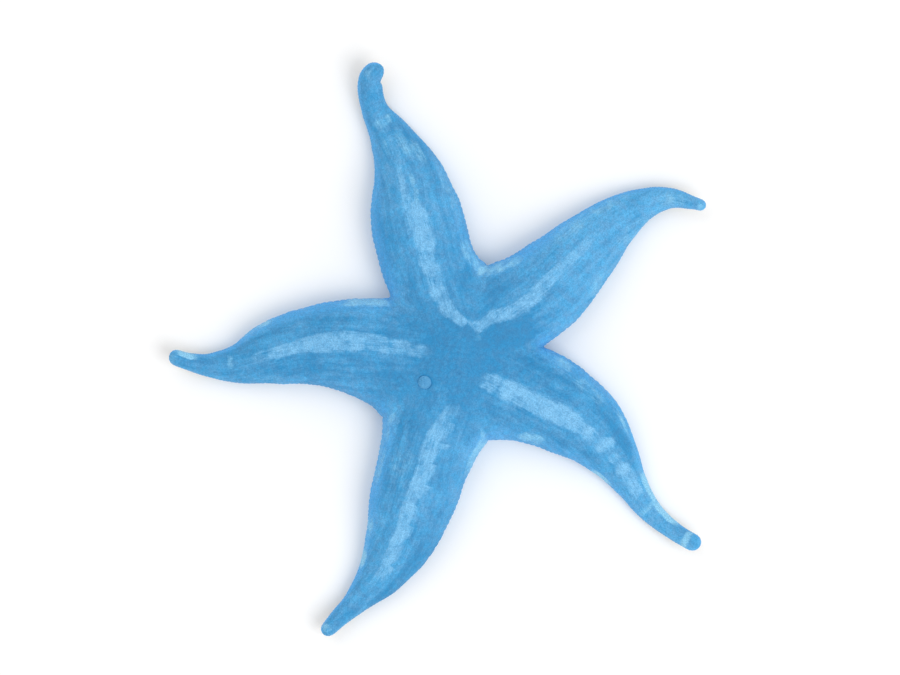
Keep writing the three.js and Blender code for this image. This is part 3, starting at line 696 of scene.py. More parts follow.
class Plates:
    """The small plates in the body wall: rows along the edges and the crest, and plates scattered
    evenly between them."""

    def __init__(self, skin):
        self.skin = skin
        self.tree = tree_of(skin.points)
        self.free = np.ones(len(skin.points), bool)
        self.centres, self.pitches = [], []
        strip = np.column_stack([skin.station, skin.around, ARM_APART * skin.arm])
        self.flat = {}
        for over in (True, False):
            chosen = np.flatnonzero(skin.is_over == over)
            self.flat[over] = (tree_of(strip[chosen]), chosen)
        for arm in arms:
            for side in (1, -1):
                for over in (True, False):
                    self.row(arm, over, side, EDGE_ROW_FROM * arm.notch, 1, -EDGE_ROW_INSET)
            self.row(arm, True, 1, CREST_ROW_FROM, 0, CREST_ROW_ASIDE)
        fixed = len(self.centres)
        pitch = plate_pitch(skin.of_points(skin.half))
        pitch *= np.where(skin.of_points(skin.is_over), 1, UNDER_CLOSER)
        for i in draws.permutation(len(skin.points)):
            if self.free[i]:
                self.place(i, pitch[i])
        self.even_out(fixed)

    def place(self, i, pitch):
        self.centres.append(self.skin.points[i])
        self.pitches.append(pitch)
        for _, j, _ in self.tree.find_range(Vector(self.skin.points[i]), PLATE_GAP * pitch):
            self.free[j] = False

    def row(self, arm, over, side, station, out, beyond):
        """A row of plates on one side of an arm, from a station to the arm's end. It lies so far
        out, as a share of the way to the edge, and so many spacings beyond that."""
        tree, chosen = self.flat[over]
        while station < arm.length - ROWS_BEFORE_END:
            pitch = ROW_CLOSER * plate_pitch(arm.half_at(station))
            nearest = tree.find(Vector((station, 0, ARM_APART * arm.index)))[1]
            around = side * (out * self.skin.around_half[chosen[nearest]] + beyond * pitch)
            found = tree.find(Vector((station, around, ARM_APART * arm.index)))[1]
            self.place(self.skin.merged[chosen[found]], pitch)
            station += pitch

    def even_out(self, fixed):
        """Moves the scattered plates to the middle of the skin that is nearest to each."""
        tree = tree_of(np.array(self.centres))
        owner = np.array([tree.find(Vector(p))[1] for p in self.skin.points])
        count = np.maximum(np.bincount(owner, minlength=len(self.centres)), 1)
        middle = sums_by(owner, self.skin.points, len(count)) / count[:, None]
        for i in range(fixed, len(self.centres)):
            self.centres[i] = middle[i]

    def relief(self):
        """For each point of the skin: how high it lies on its plate, how deep in a pore between
        three plates, and a number that is the same all over one plate."""
        tree = tree_of(np.array(self.centres))
        near = np.array([[(i, d) for _, i, d in tree.find_n(Vector(p), 3)] for p in self.skin.points])
        first, second, third = near[:, 0, 1], near[:, 1, 1], near[:, 2, 1]
        pitch = np.array(self.pitches)[near[:, 0, 0].astype(int)]
        arched = np.clip(1 - (first / (DOME_REACH * pitch)) ** 2, 0, 1)
        dome = arched * smooth((second - first) / (SEAM_REACH * pitch))
        pore = smooth(1 - (third - first) / (PORE_REACH * pitch))
        tint = draws.random(len(self.centres))[near[:, 0, 0].astype(int)]
        return dome, pore, tint


def tree_of(points):
    tree = kdtree.KDTree(len(points))
    for i, p in enumerate(points):
        tree.insert(Vector(p), i)
    tree.balance()
    return tree


# ---------------- markings, painted highlights and rim light, point by point


def band_at(letter, station, offset):
    """Strength of an arm's pale band, partly a painted highlight along its crest, at stations and offsets
    from the midline.
    """
    rows = np.array(BANDS[letter])
    centre, half, strength = (np.interp(station, rows[:, 0], rows[:, i]) for i in (1, 2, 3))
    off = offset - centre
    if letter in TEETH:
        spacing, reach = TEETH[letter]
        half = half * (1 + np.where(off > 0, (1 - station / spacing % 1) * reach, 0))
    return strength * ease(np.abs(off) / half, *BAND_EDGE)


def patches_at(rows, station, share):
    """Strength of an arm's patches. Each narrows to half its width at its ends."""
    total = np.zeros(len(station))
    for start, stop, across, width, strength in rows:
        run = PATCH_EASE * (stop - start)
        ends = ease(station, start, start + run) * ease(station, stop, stop - run)
        side = ease(np.abs(share - across) / (width * lerp(0.5, 1, ends)), *PATCH_EDGE)
        total = np.maximum(total, strength * ends * side)
    return total


def tone_at(letter, station, share):
    """How light the blue is, from 0 on the disc to 1 on the lightest edges."""
    gain, *edge_from = EDGE_TONE
    at_notch, *notch_place = NOTCH_TONE
    edge = gain * ease(station, *edge_from) + at_notch * bell(station, *notch_place)
    own = lerp(*ARM_TONE[letter], ease(station, *TIP_TONE_FROM)) * ease(station, *ARM_TONE_FROM)
    tone = np.interp(station, *TONE_ALONG) + ease(np.abs(share), *EDGE_SHARES) * edge + own
    return tone - patches_at(SHADES[letter], station, share)


# ---------------- meshes


def in_scene(name, data):
    made = bpy.data.objects.new(name, data)
    bpy.context.scene.collection.objects.link(made)
    return made


def three(*values):
    """Up to three numbers for each point, as one attribute."""
    values = np.column_stack(values)
    return np.pad(values, ((0, 0), (0, 3 - values.shape[1])))


def make_mesh(name, points, faces, uv, material, **attributes):
    """An object from millimetre points about the disc's axis, with its UV map for baking. Its
    attributes hold three numbers for each point, or for each corner of a face."""
    mesh = bpy.data.meshes.new(name)
    mesh.vertices.add(len(points))
    placed = (points + np.array([*DISC_AXIS, 0])) * MM
    mesh.vertices.foreach_set("co", placed.astype(np.float32).ravel())
    mesh.loops.add(3 * len(faces))
    mesh.loops.foreach_set("vertex_index", faces.astype(np.int32).ravel())
    mesh.polygons.add(len(faces))
    mesh.polygons.foreach_set("loop_start", np.arange(0, 3 * len(faces), 3, dtype=np.int32))
    mesh.update(calc_edges=True)
    mesh.uv_layers.new(name="OFBake").uv.foreach_set("vector", uv.astype(np.float32).ravel())
    for key, values in attributes.items():
        domain = "POINT" if len(values) == len(points) else "CORNER"
        layer = mesh.attributes.new(key, "FLOAT_VECTOR", domain)
        layer.data.foreach_set("vector", values.astype(np.float32).ravel())
    mesh.polygons.foreach_set("use_smooth", np.ones(len(faces), bool))
    mesh.validate()
    mesh.materials.append(material)
    made = in_scene(name, mesh)
    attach(made, "root")
    return made


# ---------------- materials


def colour(red, green, blue):
    """A colour in linear light from its display values, 0 to 255."""
    shown = np.array([red, green, blue]) / 255
    linear = np.where(shown <= 0.04045, shown / 12.92, ((shown + 0.055) / 1.055) ** 2.4)
    return (*linear, 1)


class Nodes:
    """A material's node tree, grown by calls that each return an output. Scales are per metre, and a
    bump's distance is in metres. A ramp runs between its first two numbers, from 0 to 1 or between
    the other two."""

    def __init__(self, name, specular):
        self.material = bpy.data.materials.new(name)
        self.material.use_nodes = True
        self.tree = self.material.node_tree
        self.shader = self.tree.nodes["Principled BSDF"]
        self.shader.inputs["Specular IOR Level"].default_value = specular
        self.place = self.add("ShaderNodeTexCoord", {}, "Object")

    def add(self, kind, inputs, output=0, **settings):
        node = self.tree.nodes.new(kind)
        for key, value in settings.items():
            setattr(node, key, value)
        for key, value in inputs.items():
            self.feed(node.inputs[key], value)
        return node.outputs[output]

    def feed(self, socket, value):
        if isinstance(value, bpy.types.NodeSocket):
            self.tree.links.new(value, socket)
        else:
            socket.default_value = value

    def maths(self, operation, a, b):
        return self.add("ShaderNodeMath", {0: a, 1: b}, operation=operation)

    def times(self, a, b):
        return self.maths("MULTIPLY", a, b)

    def centred(self, value):
        return self.maths("SUBTRACT", value, 0.5)

    def sum_of(self, total, *terms):
        """A value with others added, each times its weight."""
        for value, weight in terms:
            total = self.maths("ADD", total, self.times(value, weight))
        return total

    def painted(self, base, *layers):
        """A colour with others laid over it, each by its share."""
        for share, paint in layers:
            base = self.add("ShaderNodeMix", {0: share, 6: base, 7: paint}, 2, data_type="RGBA")
        return base

    def ramp(self, value, low, high, start=0.0, end=1.0):
        inputs = {0: value, 1: low, 2: high, 3: start, 4: end}
        return self.add("ShaderNodeMapRange", inputs, interpolation_type="SMOOTHSTEP")

    def spread(self, noise, least=0.0, most=1.0):
        """A noise's usual values, spread between two others."""
        return self.ramp(noise, *NOISE_RANGE, least, most)

    def noise(self, scale, detail=2.0, rough=0.5, vector=None):
        inputs = {"Vector": vector or self.place, "Scale": scale, "Detail": detail, "Roughness": rough}
        return self.add("ShaderNodeTexNoise", inputs)

    def cells(self, scale, output=0):
        """Rounded grains: the distance from the middle of each, or its own colour as output 1."""
        inputs = {"Vector": self.place, "Scale": scale, "Randomness": CELL_SHIFT}
        return self.add("ShaderNodeTexVoronoi", inputs, output)

    def attribute(self, name):
        return self.add("ShaderNodeAttribute", {}, "Vector", attribute_name=name)

    def parts(self, name):
        """The three numbers of one of the mesh's own attributes."""
        node = self.tree.nodes.new("ShaderNodeSeparateXYZ")
        self.feed(node.inputs[0], self.attribute(name))
        return node.outputs

    def streaks(self, along, across, rough):
        """Noise about zero, drawn out along the arms: its scales are per millimetre."""
        drawn = {0: self.attribute("of_flow"), 1: (along, across, 1)}
        drawn = self.add("ShaderNodeVectorMath", drawn, operation="MULTIPLY")
        return self.centred(self.noise(1.0, STREAK_DETAIL, rough, drawn))

    def bump(self, height, distance, strength, below=None, sunken=False):
        inputs = {"Height": height, "Distance": distance, "Strength": strength}
        if below is not None:
            inputs["Normal"] = below
        return self.add("ShaderNodeBump", inputs, invert=sunken)

    def worn(self, strength, frayed):
        """A marking's or painted highlight's strength, broken up by brush marks, most of all along its
        edges.
        """
        edge = self.times(self.times(strength, self.maths("SUBTRACT", 1.0, strength)), WEAR_AT_EDGE)
        wear = self.sum_of(edge, (strength, WEAR_INSIDE))
        return self.ramp(self.sum_of(strength, (frayed, wear)), *WORN_RANGE)

    def finish(self, base, roughness, normal=None):
        self.feed(self.shader.inputs["Base Color"], base)
        self.feed(self.shader.inputs["Roughness"], roughness)
        if normal is not None:
            self.feed(self.shader.inputs["Normal"], normal)
        return self.material


DEEP_BLUES = (colour(38, 144, 201), colour(52, 138, 191))  # keener and greyer
LIGHT_BLUES = (colour(94, 187, 240), colour(108, 181, 230))
# Painted rim light: a lighter, keener blue along the arms' edges, fullest on the side away from the key
# lamp.
RIM_LIGHT_BLUE = colour(84, 182, 250)
# Pale blue of the crest bands, partly a marking and partly a painted highlight; the madreporite's
# blotches take it too.
BAND_BLUE = colour(136, 204, 247)
# Pale blue of the painted highlights.
HIGHLIGHT_BLUE = colour(150, 217, 250)
PORE_BLUE = colour(28, 98, 152)
ORAL_BLUE = colour(140, 186, 214)
LIP_CREAM = colour(222, 205, 168)
FOOT_CREAM = colour(232, 205, 150)
SUCKER_CREAM = colour(244, 228, 190)
SPINE_CREAM = colour(205, 214, 205)
MOUTH_PINK = colour(206, 158, 120)
SIEVE_BLUE = colour(84, 163, 212)
EYE_RED = colour(176, 44, 26)
EYE_CUP_RED = colour(104, 18, 12)
# Painted glints: an orange laid in blotches over the eye spots' red.
EYE_GLINT_ORANGE = colour(212, 84, 40)
FLOOR_GREYS = ((0.94, 0.94, 0.94, 1), (0.96, 0.96, 0.96, 1))

# Noises and blotches are given by scale, detail and roughness, bumps by distance and strength, and
# ranges by a ramp's numbers.
NOISE_RANGE = (0.3, 0.7)  # most of a noise's values lie between these
GRANULE_SCALE = 2100.0  # granules per metre
GRANULE_ROUND = 2.0  # exponent of their outline
GRANULE_BUMP = (0.00014, 1.0)
GRANULE_GAPS = (0.34, 0.7, 0.0, 0.3)  # how dark it gets between them
PAPULA_SCALE = 1700.0  # and soft dots in the pores
PAPULA_RANGE = (0.36, 0.18)
PAPULA_STRENGTH = 0.55
SEAM_RANGE = (0.42, 0.0)  # heights on a plate between which its seams darken
SEAM_STRENGTH = 0.14
GRAIN_NOISE = (5200.0,)  # the finest grain, over the granules
GRAIN_BUMP = (0.00002, 0.5)
CELL_SHIFT = 0.8  # how far grains depart from a regular grid
FINE_STREAKS = (0.16, 1.7, 0.6)  # scale along and across the arm, and roughness
BROAD_STREAKS = (0.05, 0.36, 0.55)
STREAK_DETAIL = 3.0
CLOUDS = (70.0, 4.0, 0.6)
UNEVEN = (0.6, 1.2, 1.1, 0.14, 0.3)  # fine and broad streaks, clouds, plates and granules in the tone
TONE_RANGE = (-0.12, 1.1)  # from deep blue to light
BLOTCHES = (330.0, 3.0, 0.6)  # of keener and greyer blue
BLOTCH_RANGE = (0.34, 0.66)
RAGS = (210.0, 4.0, 0.7)  # tear the markings
RAG_WEIGHTS = (1.5, 0.7)  # of the rags and the fine streaks
WEAR_AT_EDGE = 4.0  # how much brush marks break up a marking where it fades
WEAR_INSIDE = 0.35  # and where it is strong
WORN_RANGE = (0.06, 1.02)  # strengths between which a worn marking comes in
RIM_LIGHT_STRENGTH = 0.85
MARK_AND_HIGHLIGHT_STRENGTH = 0.95
ORAL_STRENGTH = 0.8
LIP_STRENGTH = 0.75
GLOSS_NOISE = (160.0, 3.0)
SKIN_ROUGHNESS = (0.48, 0.64)
FOOT_BLOTCHES = (900.0, 3.0)
FOOT_BLOTCH_RANGE = (0.4, 0.75, 0.0, 0.3)
SUCKER_RANGE = (0.6, 0.84)  # shares of a foot's length between which it turns pale
CUP_SHADE_RANGE = (0.86, 0.98, 0.0, 0.6)  # and its cup pink, a painted shade in the hollow of the sucker
FOOT_PINK = 0.35  # most pink that a foot has all over
FOOT_ROUGHNESS = (0.36, 0.5)
FOOT_BUMP_NOISE = (4200.0, 3.0)
FOOT_BUMP = (0.00004, 0.6)
SPINE_PALE_RANGE = (0.15, 0.75)  # shares of a spine's length between which it turns pale
SPINE_CREAM_MOST = 0.45  # most cream that a spine has all over
SPINE_GLOSS_NOISE = (800.0,)
SPINE_ROUGHNESS = (0.52, 0.68)
SPINE_KNOBS = 5200.0  # per metre
SPINE_BUMP = (0.00004, 0.6)
MOUTH_PALE_RANGE = (0.12, 0.8)  # shares of the mouth's radius between which its skin turns cream
MOUTH_BLOTCHES = (700.0, 3.0)
MOUTH_BLOTCH_RANGE = (0.35, 0.7, 0.0, 0.4)
MOUTH_ROUGHNESS = (0.34, 0.5)
MOUTH_BUMP_NOISE = (3600.0, 3.0)
MOUTH_BUMP = (0.00005, 0.6)
SIEVE_CREST_RANGE = (-0.9, 0.4, 0.45, 1.0)  # from the madreporite's grooves to its crests
SIEVE_BLOTCHES = (900.0, 3.0)
SIEVE_BLOTCH_RANGE = (0.35, 0.7, 0.0, 0.25)
SIEVE_ROUGHNESS = 0.66
SIEVE_BUMP_NOISE = (6000.0,)
SIEVE_BUMP = (0.00003, 0.7)
EYE_GLINT_NOISE = (1800.0,)
EYE_GLINT_RANGE = (0.4, 0.7, 0.0, 0.4)
EYE_ROUGHNESS = (0.0, 1.0, 0.3, 0.5)  # from outside a cup to inside
FLOOR_BLOTCHES = (3.0,)
FLOOR_ROUGHNESS = 0.9


def skin_material():
    g = Nodes("star_skin", specular=0.35)
    band_and_highlight, painted_highlight, oral = g.parts("of_mark_and_highlight")
    relief, pore, tint = g.parts("of_form")
    tone, lip, streaked = g.parts("of_tone")
    rim, _, _ = g.parts("of_rim_light")
    fine, broad = (g.times(g.streaks(*kind), streaked) for kind in (FINE_STREAKS, BROAD_STREAKS))
    clouds = g.centred(g.noise(*CLOUDS))
    grains = g.centred(g.cells(GRANULE_SCALE, 1))
    uneven = zip((fine, broad, clouds, g.centred(tint), grains), UNEVEN)
    lightness = g.ramp(g.sum_of(tone, *uneven), *TONE_RANGE)
    greyed = g.ramp(g.noise(*BLOTCHES), *BLOTCH_RANGE)
    deep, light = (g.painted(keen, (greyed, grey)) for keen, grey in (DEEP_BLUES, LIGHT_BLUES))
    by_rags, by_streaks = RAG_WEIGHTS
    frayed = g.sum_of(g.times(g.centred(g.noise(*RAGS)), by_rags), (fine, by_streaks))
    seams = g.times(g.ramp(relief, *SEAM_RANGE), SEAM_STRENGTH)
    dots = g.ramp(g.cells(PAPULA_SCALE), *PAPULA_RANGE)
    papulae = g.times(g.times(pore, dots), PAPULA_STRENGTH)
    granules = g.cells(GRANULE_SCALE)
    gaps = g.ramp(granules, *GRANULE_GAPS)
    blue = g.painted(
        deep,
        (lightness, light),
        # painted rim light along the edges, fullest on rims facing away from the key lamp
        (g.times(rim, RIM_LIGHT_STRENGTH), RIM_LIGHT_BLUE),
        # the crest band: partly a marking, partly a painted highlight along the crest
        (g.times(g.worn(band_and_highlight, frayed), MARK_AND_HIGHLIGHT_STRENGTH), BAND_BLUE),
        # painted highlights: pale patches beside the bands, at the edges and tips
        (g.times(g.worn(painted_highlight, frayed), MARK_AND_HIGHLIGHT_STRENGTH), HIGHLIGHT_BLUE),
        (g.times(oral, ORAL_STRENGTH), ORAL_BLUE),
        (g.times(lip, LIP_STRENGTH), LIP_CREAM),
        (g.maths("MAXIMUM", gaps, g.maths("MAXIMUM", seams, papulae)), PORE_BLUE),
    )
    rounded = g.bump(g.maths("POWER", granules, GRANULE_ROUND), *GRANULE_BUMP, sunken=True)
    grain = g.bump(g.noise(*GRAIN_NOISE), *GRAIN_BUMP, rounded)
    return g.finish(blue, g.spread(g.noise(*GLOSS_NOISE), *SKIN_ROUGHNESS), grain)


def foot_material():
    g = Nodes("tube_foot", specular=0.5)
    along, own, _ = g.parts("of_form")
    blotch = g.noise(*FOOT_BLOTCHES)
    cream = g.painted(
        FOOT_CREAM,
        (g.ramp(along, *SUCKER_RANGE), SUCKER_CREAM),
        # painted shade: a darker pink in the hollow of each sucker's cup
        (g.ramp(along, *CUP_SHADE_RANGE), MOUTH_PINK),
        (g.times(own, FOOT_PINK), MOUTH_PINK),
        (g.ramp(blotch, *FOOT_BLOTCH_RANGE), MOUTH_PINK),
    )
    soft = g.bump(g.noise(*FOOT_BUMP_NOISE), *FOOT_BUMP)
    return g.finish(cream, g.spread(blotch, *FOOT_ROUGHNESS), soft)


def spine_material():
    g = Nodes("furrow_spine", specular=0.35)
    along, own, _ = g.parts("of_form")
    pale = g.painted(
        ORAL_BLUE,
        (g.ramp(along, *SPINE_PALE_RANGE), SPINE_CREAM),
        (g.times(own, SPINE_CREAM_MOST), LIP_CREAM),
    )
    knobs = g.bump(g.cells(SPINE_KNOBS), *SPINE_BUMP, sunken=True)
    return g.finish(pale, g.spread(g.noise(*SPINE_GLOSS_NOISE), *SPINE_ROUGHNESS), knobs)


def mouth_material():
    g = Nodes("mouth_skin", specular=0.5)
    out, _, _ = g.parts("of_form")
    blotch = g.noise(*MOUTH_BLOTCHES)
    warm = g.painted(
        MOUTH_PINK,
        (g.ramp(out, *MOUTH_PALE_RANGE), LIP_CREAM),
        (g.ramp(blotch, *MOUTH_BLOTCH_RANGE), FOOT_CREAM),
    )
    soft = g.bump(g.noise(*MOUTH_BUMP_NOISE), *MOUTH_BUMP)
    return g.finish(warm, g.spread(blotch, *MOUTH_ROUGHNESS), soft)


def sieve_material():
    g = Nodes("sieve_plate", specular=0.3)
    _, crest, _ = g.parts("of_form")
    blotch = g.ramp(g.noise(*SIEVE_BLOTCHES), *SIEVE_BLOTCH_RANGE)
    crests = g.ramp(crest, *SIEVE_CREST_RANGE)
    pale = g.painted(PORE_BLUE, (crests, SIEVE_BLUE), (blotch, BAND_BLUE))
    return g.finish(pale, SIEVE_ROUGHNESS, g.bump(g.noise(*SIEVE_BUMP_NOISE), *SIEVE_BUMP))


def eye_material():
    g = Nodes("eye_spot", specular=0.5)
    cup, _, _ = g.parts("of_form")
    # Painted glints: blotches of orange over the red.
    blotch = g.ramp(g.noise(*EYE_GLINT_NOISE), *EYE_GLINT_RANGE)
    red = g.painted(EYE_RED, (cup, EYE_CUP_RED), (blotch, EYE_GLINT_ORANGE))
    return g.finish(red, g.ramp(cup, *EYE_ROUGHNESS))


def floor_material():
    g = Nodes("pale_floor", specular=0.1)
    dark, light = FLOOR_GREYS
    return g.finish(g.painted(dark, (g.spread(g.noise(*FLOOR_BLOTCHES)), light)), FLOOR_ROUGHNESS)


# ---------------- the skin


def relax_valleys(skin):
    """Softens the whole skin a little, and the valleys between the arms much more."""
    in_disc = np.zeros(len(skin.raw))
    for arm in arms:
        mine = skin.arm == arm.index
        in_disc[mine] = ease(skin.station[mine], arm.notch + VALLEY_RUN, arm.notch)
    in_valley = ease(np.abs(skin.share), *VALLEY_SHARES)
    valley = skin.of_points(in_disc * in_valley * skin.is_over)
    skin.relax(SOFTENING[0] + SOFTENING[1] * valley, RELAX_ROUNDS)


def raise_relief(skin, dome, pore):
    """Moves the skin out on its plates, and in at its pores, the anus, the madreporite and the
    mouth."""
    over = skin.of_points(skin.is_over)
    size = plate_pitch(skin.of_points(skin.half)) / plate_pitch(USUAL_HALF)
    swell = np.zeros(len(skin.points))
    for octave, run in enumerate(SWELL_RUNS):
        place = skin.points / run + octave * np.array(SWELL_SHIFT)
        swell += noise_at(*place.T) / (1 + octave)
    rise = np.where(over, PLATE_RISE * (dome - PLATE_LEVEL), UNDER_RISE * (dome - 1)) * size
    rise += np.where(over, SWELL * size * swell, 0) - PORE_DEPTH * pore * size
    seat, _ = madreporite_seat()
    beside = np.linalg.norm(skin.points - seat, axis=1) - MADREPORITE_RADIUS
    pit = ease(beside, *SEAT_EDGE)
    collar_place, collar_width, collar_height = COLLAR
    collar = bell(beside, collar_place, collar_width)
    rise *= (1 - pit) * (1 - COLLAR_CALM * collar)
    rise += collar_height * collar - SEAT_DEPTH * pit
    from_anus = np.linalg.norm(skin.points[:, :2] - ANUS, axis=1)
    pit_depth, pit_width = ANUS_PIT
    ring_height, *ring_place = ANUS_RING
    anus = ring_height * bell(from_anus, *ring_place) - pit_depth * bell(from_anus, 0, pit_width)
    rise += np.where(over, anus, 0)
    beyond_mouth = np.linalg.norm(skin.points[:, :2], axis=1) - MOUTH_RADIUS
    recess = ease(beyond_mouth, *MOUTH_EDGE) * ~over
    skin.points += skin.normals() * rise[:, None]
    skin.points[:, 2] = np.maximum(skin.points[:, 2] + MOUTH_RECESS * recess, 0)


def marks_of(skin):
    """How strongly each merged point has each marking, painted highlight and painted rim light, as
    attributes of up to three of them.
    """
    band_and_highlight, painted_highlight, oral, tone, lip, rim, streaked = np.zeros((7, len(skin.raw)))
    for arm in arms:
        mine = skin.arm == arm.index
        station, share, back = skin.station[mine], skin.share[mine], skin.is_over[mine]
        beside = np.abs(share)
        sections = Sections(arm, station)
        side = np.where((share > 0)[:, None], sections.left, sections.right)
        reach = np.maximum(np.linalg.norm(side, axis=1), TINY)
        # The crest band: partly a marking, partly a painted highlight along the crest.
        band_and_highlight[mine] = band_at(arm.letter, station, share * reach) * back
        above = np.where(back, 1, ease(beside, *HIGHLIGHTS_FROM))
        # Painted highlights: pale patches beside the bands, at the edges and tips, lighter in the
        # valleys.
        painted_highlight[mine] = patches_at(HIGHLIGHT_PATCHES[arm.letter], station, share) * above
        tone[mine] = tone_at(arm.letter, station, share)
        beneath = ~back * ease(station, arm.length, arm.length - END_RUN * arm.rounding)
        lip[mine] = ease((beside - sections.groove) * sections.reach, *LIP_TINT) * beneath
        outer = beside * ease(station / arm.notch, *OUTER_FROM)
        oral[mine] = ease(outer, *ORAL_TINT) * beneath
        # Painted rim light along the edges, fullest on rims that face away from the key lamp.
        facing = side @ RIM_LIGHT_SIDE / reach * ease(station, arm.notch, arm.notch + RIM_LIGHT_FROM)
        rim[mine] = ease(outer, *RIM_LIGHT_SHARES) * lerp(0.5, 1, facing)
        in_valley = ease(station - arm.notch, *NO_STREAKS) * ease(beside, *NO_STREAK_SHARES)
        streaked[mine] = (1 - in_valley) * ease(station, *STREAKS_FROM)
    kinds = {"of_mark_and_highlight": (band_and_highlight, painted_highlight, oral), "of_tone": (tone, lip, streaked), "of_rim_light": (rim,)}
    return {name: skin.of_points(three(*values)) for name, values in kinds.items()}


def make_skin():
    skin = Skin()
    relax_valleys(skin)
    dome, pore, tint = Plates(skin).relief()
    raise_relief(skin, dome, pore)
    apart = FLOW_APART[0] * skin.arm + FLOW_APART[1] * skin.is_over
    corners = skin.corners.ravel()
    made = make_mesh(
        "skin",
        skin.points,
        skin.faces,
        uv_of(skin.arm, skin.is_over, skin.station, skin.around)[corners],
        skin_material(),
        of_form=three(dome, pore, tint),
        of_flow=three(skin.station, skin.around, apart)[corners],
        **marks_of(skin),
    )
    flesh = [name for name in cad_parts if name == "disc" or name.startswith("arm_")]
    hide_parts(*flesh)


def madreporite_seat():
    """Place and outward direction of the madreporite, in the valley between arms C and D."""
    arm = arms[3]
    shares = MADREPORITE_SHARE + SIEVE_SEAT_STEP * np.array([-1, 0, 1])
    valley = arm.edges[0] * shares[:, None]
    valley[:, 2] = Sections(arm, shares * arm.notch).rim_over
    sideways = np.cross(UP, arm.edges[0])
    axis = np.cross(valley[2] - valley[0], sideways)
    return valley[1], unit(axis)


# ---------------- closed shapes of rings


def closed_grid(rings, sides):
    """Triangles and their corners' UVs for a start, some rings of points, and an end."""
    i, k = np.meshgrid(np.arange(rings + 1), np.arange(sides), indexing="ij")
    i, k = i.ravel(), k.ravel()
    last = 1 + rings * sides

    def corner(i, k):
        return np.where(i == 0, 0, np.where(i > rings, last, 1 + (i - 1) * sides + k % sides))

    quad = [(i, k), (i, k + 1), (i + 1, k + 1), (i + 1, k)]
    halves = ((0, 1, 2), (0, 2, 3))
    corners = [corner(*at) for at in quad]
    places = [np.column_stack([k / sides, i / (rings + 1)]) for i, k in quad]
    faces = np.vstack([np.column_stack([corners[j] for j in half]) for half in halves])
    uv = np.vstack([np.stack([places[j] for j in half], axis=1) for half in halves])
    proper = proper_ones(faces)
    return faces[proper], uv[proper]


def turn_round(sides):
    return np.arange(sides) * 2 * math.pi / sides


class Pile:
    """Many tubes, all of as many rings and sides, joined into one mesh. Each has its own small patch
    of the UV square, at the place that its root has on the unwrapped skin."""

    def __init__(self, rings, sides):
        self.grid, self.grid_uv = closed_grid(rings, sides)
        self.sides = sides
        self.points, self.roots, self.facts = [], [], []

    def add(self, centres, axes, radii, beside, roots):
        """Tubes by the middles of their start, rings and end, the axes and radii of the rings, a
        direction across each tube, and the UV places of their roots."""
        u = beside[:, None] - axes * np.sum(axes * beside[:, None], axis=2, keepdims=True)
        u = unit(u)
        v = np.cross(axes, u)
        turn = draws.uniform(0, TURN_MOST, (len(axes), 1)) + turn_round(self.sides)
        turn = turn[:, None, :, None]
        around = np.cos(turn) * u[:, :, None] + np.sin(turn) * v[:, :, None]
        rings = centres[:, 1:-1, None] + radii[:, :, None, None] * around
        rings = rings.reshape(len(axes), -1, 3)
        self.points.append(np.concatenate([centres[:, :1], rings, centres[:, -1:]], axis=1))
        self.roots.append(roots)
        self.facts.append(draws.random(len(axes)))

    def make(self, name, material):
        points = np.concatenate(self.points)
        roots = np.concatenate(self.roots)
        many, each, _ = points.shape
        faces = (self.grid[None] + each * np.arange(many)[:, None, None]).reshape(-1, 3)
        uv = roots[:, None, None] + UV_PATCH * (self.grid_uv[None] - 0.5)
        points = points.reshape(-1, 3)
        points[:, 2] = np.maximum(points[:, 2], LEAST_CLEARANCE)
        # Each point knows how far along its tube it lies, and its tube's own number.
        rings = (each - 2) // self.sides
        ring = np.concatenate([[0], np.repeat(np.arange(1, rings + 1), self.sides), [rings + 1]])
        own = np.repeat(np.concatenate(self.facts), each)
        form = three(np.tile(ring / (rings + 1), many), own)
        return make_mesh(name, points, faces, uv.reshape(-1, 3, 2), material, of_form=form)


def stray(most, count):
    return draws.uniform(-most, most, count)


def groove_half(arm, station):
    """The groove's half-width at one station."""
    arm_groove = min(GROOVE_HALF, GROOVE_HALF_SHARE * arm.half_at(station))
    return GROOVE_HALF if station < arm.notch else arm_groove


def stations_along(arm, start, stop, pitch):
    """Stations from one to another at a spacing that depends on the groove's half-width."""
    found = []
    while start < stop:
        found.append(start)
        start += pitch(groove_half(arm, start))
    return np.array(found)


def foot_pitch(wide):
    return max(FOOT_PITCH[0], FOOT_PITCH[1] * wide)


def spine_pitch(wide):
    return SPINE_PITCH * max(SPINE_LEAST, wide / GROOVE_HALF)


def spot(sections, shares, lower):
    """One point for each section, so much lower than the underside."""
    return sections.surface(shares[:, None], False, lower[:, None])[:, 0]


def feet_into(pile, root, end, sucker, bow, beside, uv):
    """Ringed tube feet from their roots to the ends of their suckers, bowed to one side."""
    in_radii = sucker / np.linalg.norm(end - root, axis=1)
    shaft_end = (1 - SUCKER_RINGS[0][0] * in_radii) / SHAFT_SHARE
    along = [np.zeros(len(root))]
    along += [share * shaft_end for share, _ in SHAFT_RINGS]
    along += [1 - before * in_radii for before, _ in SUCKER_RINGS]
    along += [1 - SUCKER_CUP * in_radii]
    t = np.stack(along, axis=1)[..., None]
    bent = bow[:, None] * np.sin(math.pi * np.minimum(t, 1))
    centres = lerp(root[:, None], end[:, None], t) + bent
    outline = np.array([share for _, share in SHAFT_RINGS + SUCKER_RINGS])
    axes = np.repeat(unit(end - root)[:, None], len(outline), axis=1)
    pile.add(centres, axes, sucker[:, None] * outline, beside, uv)


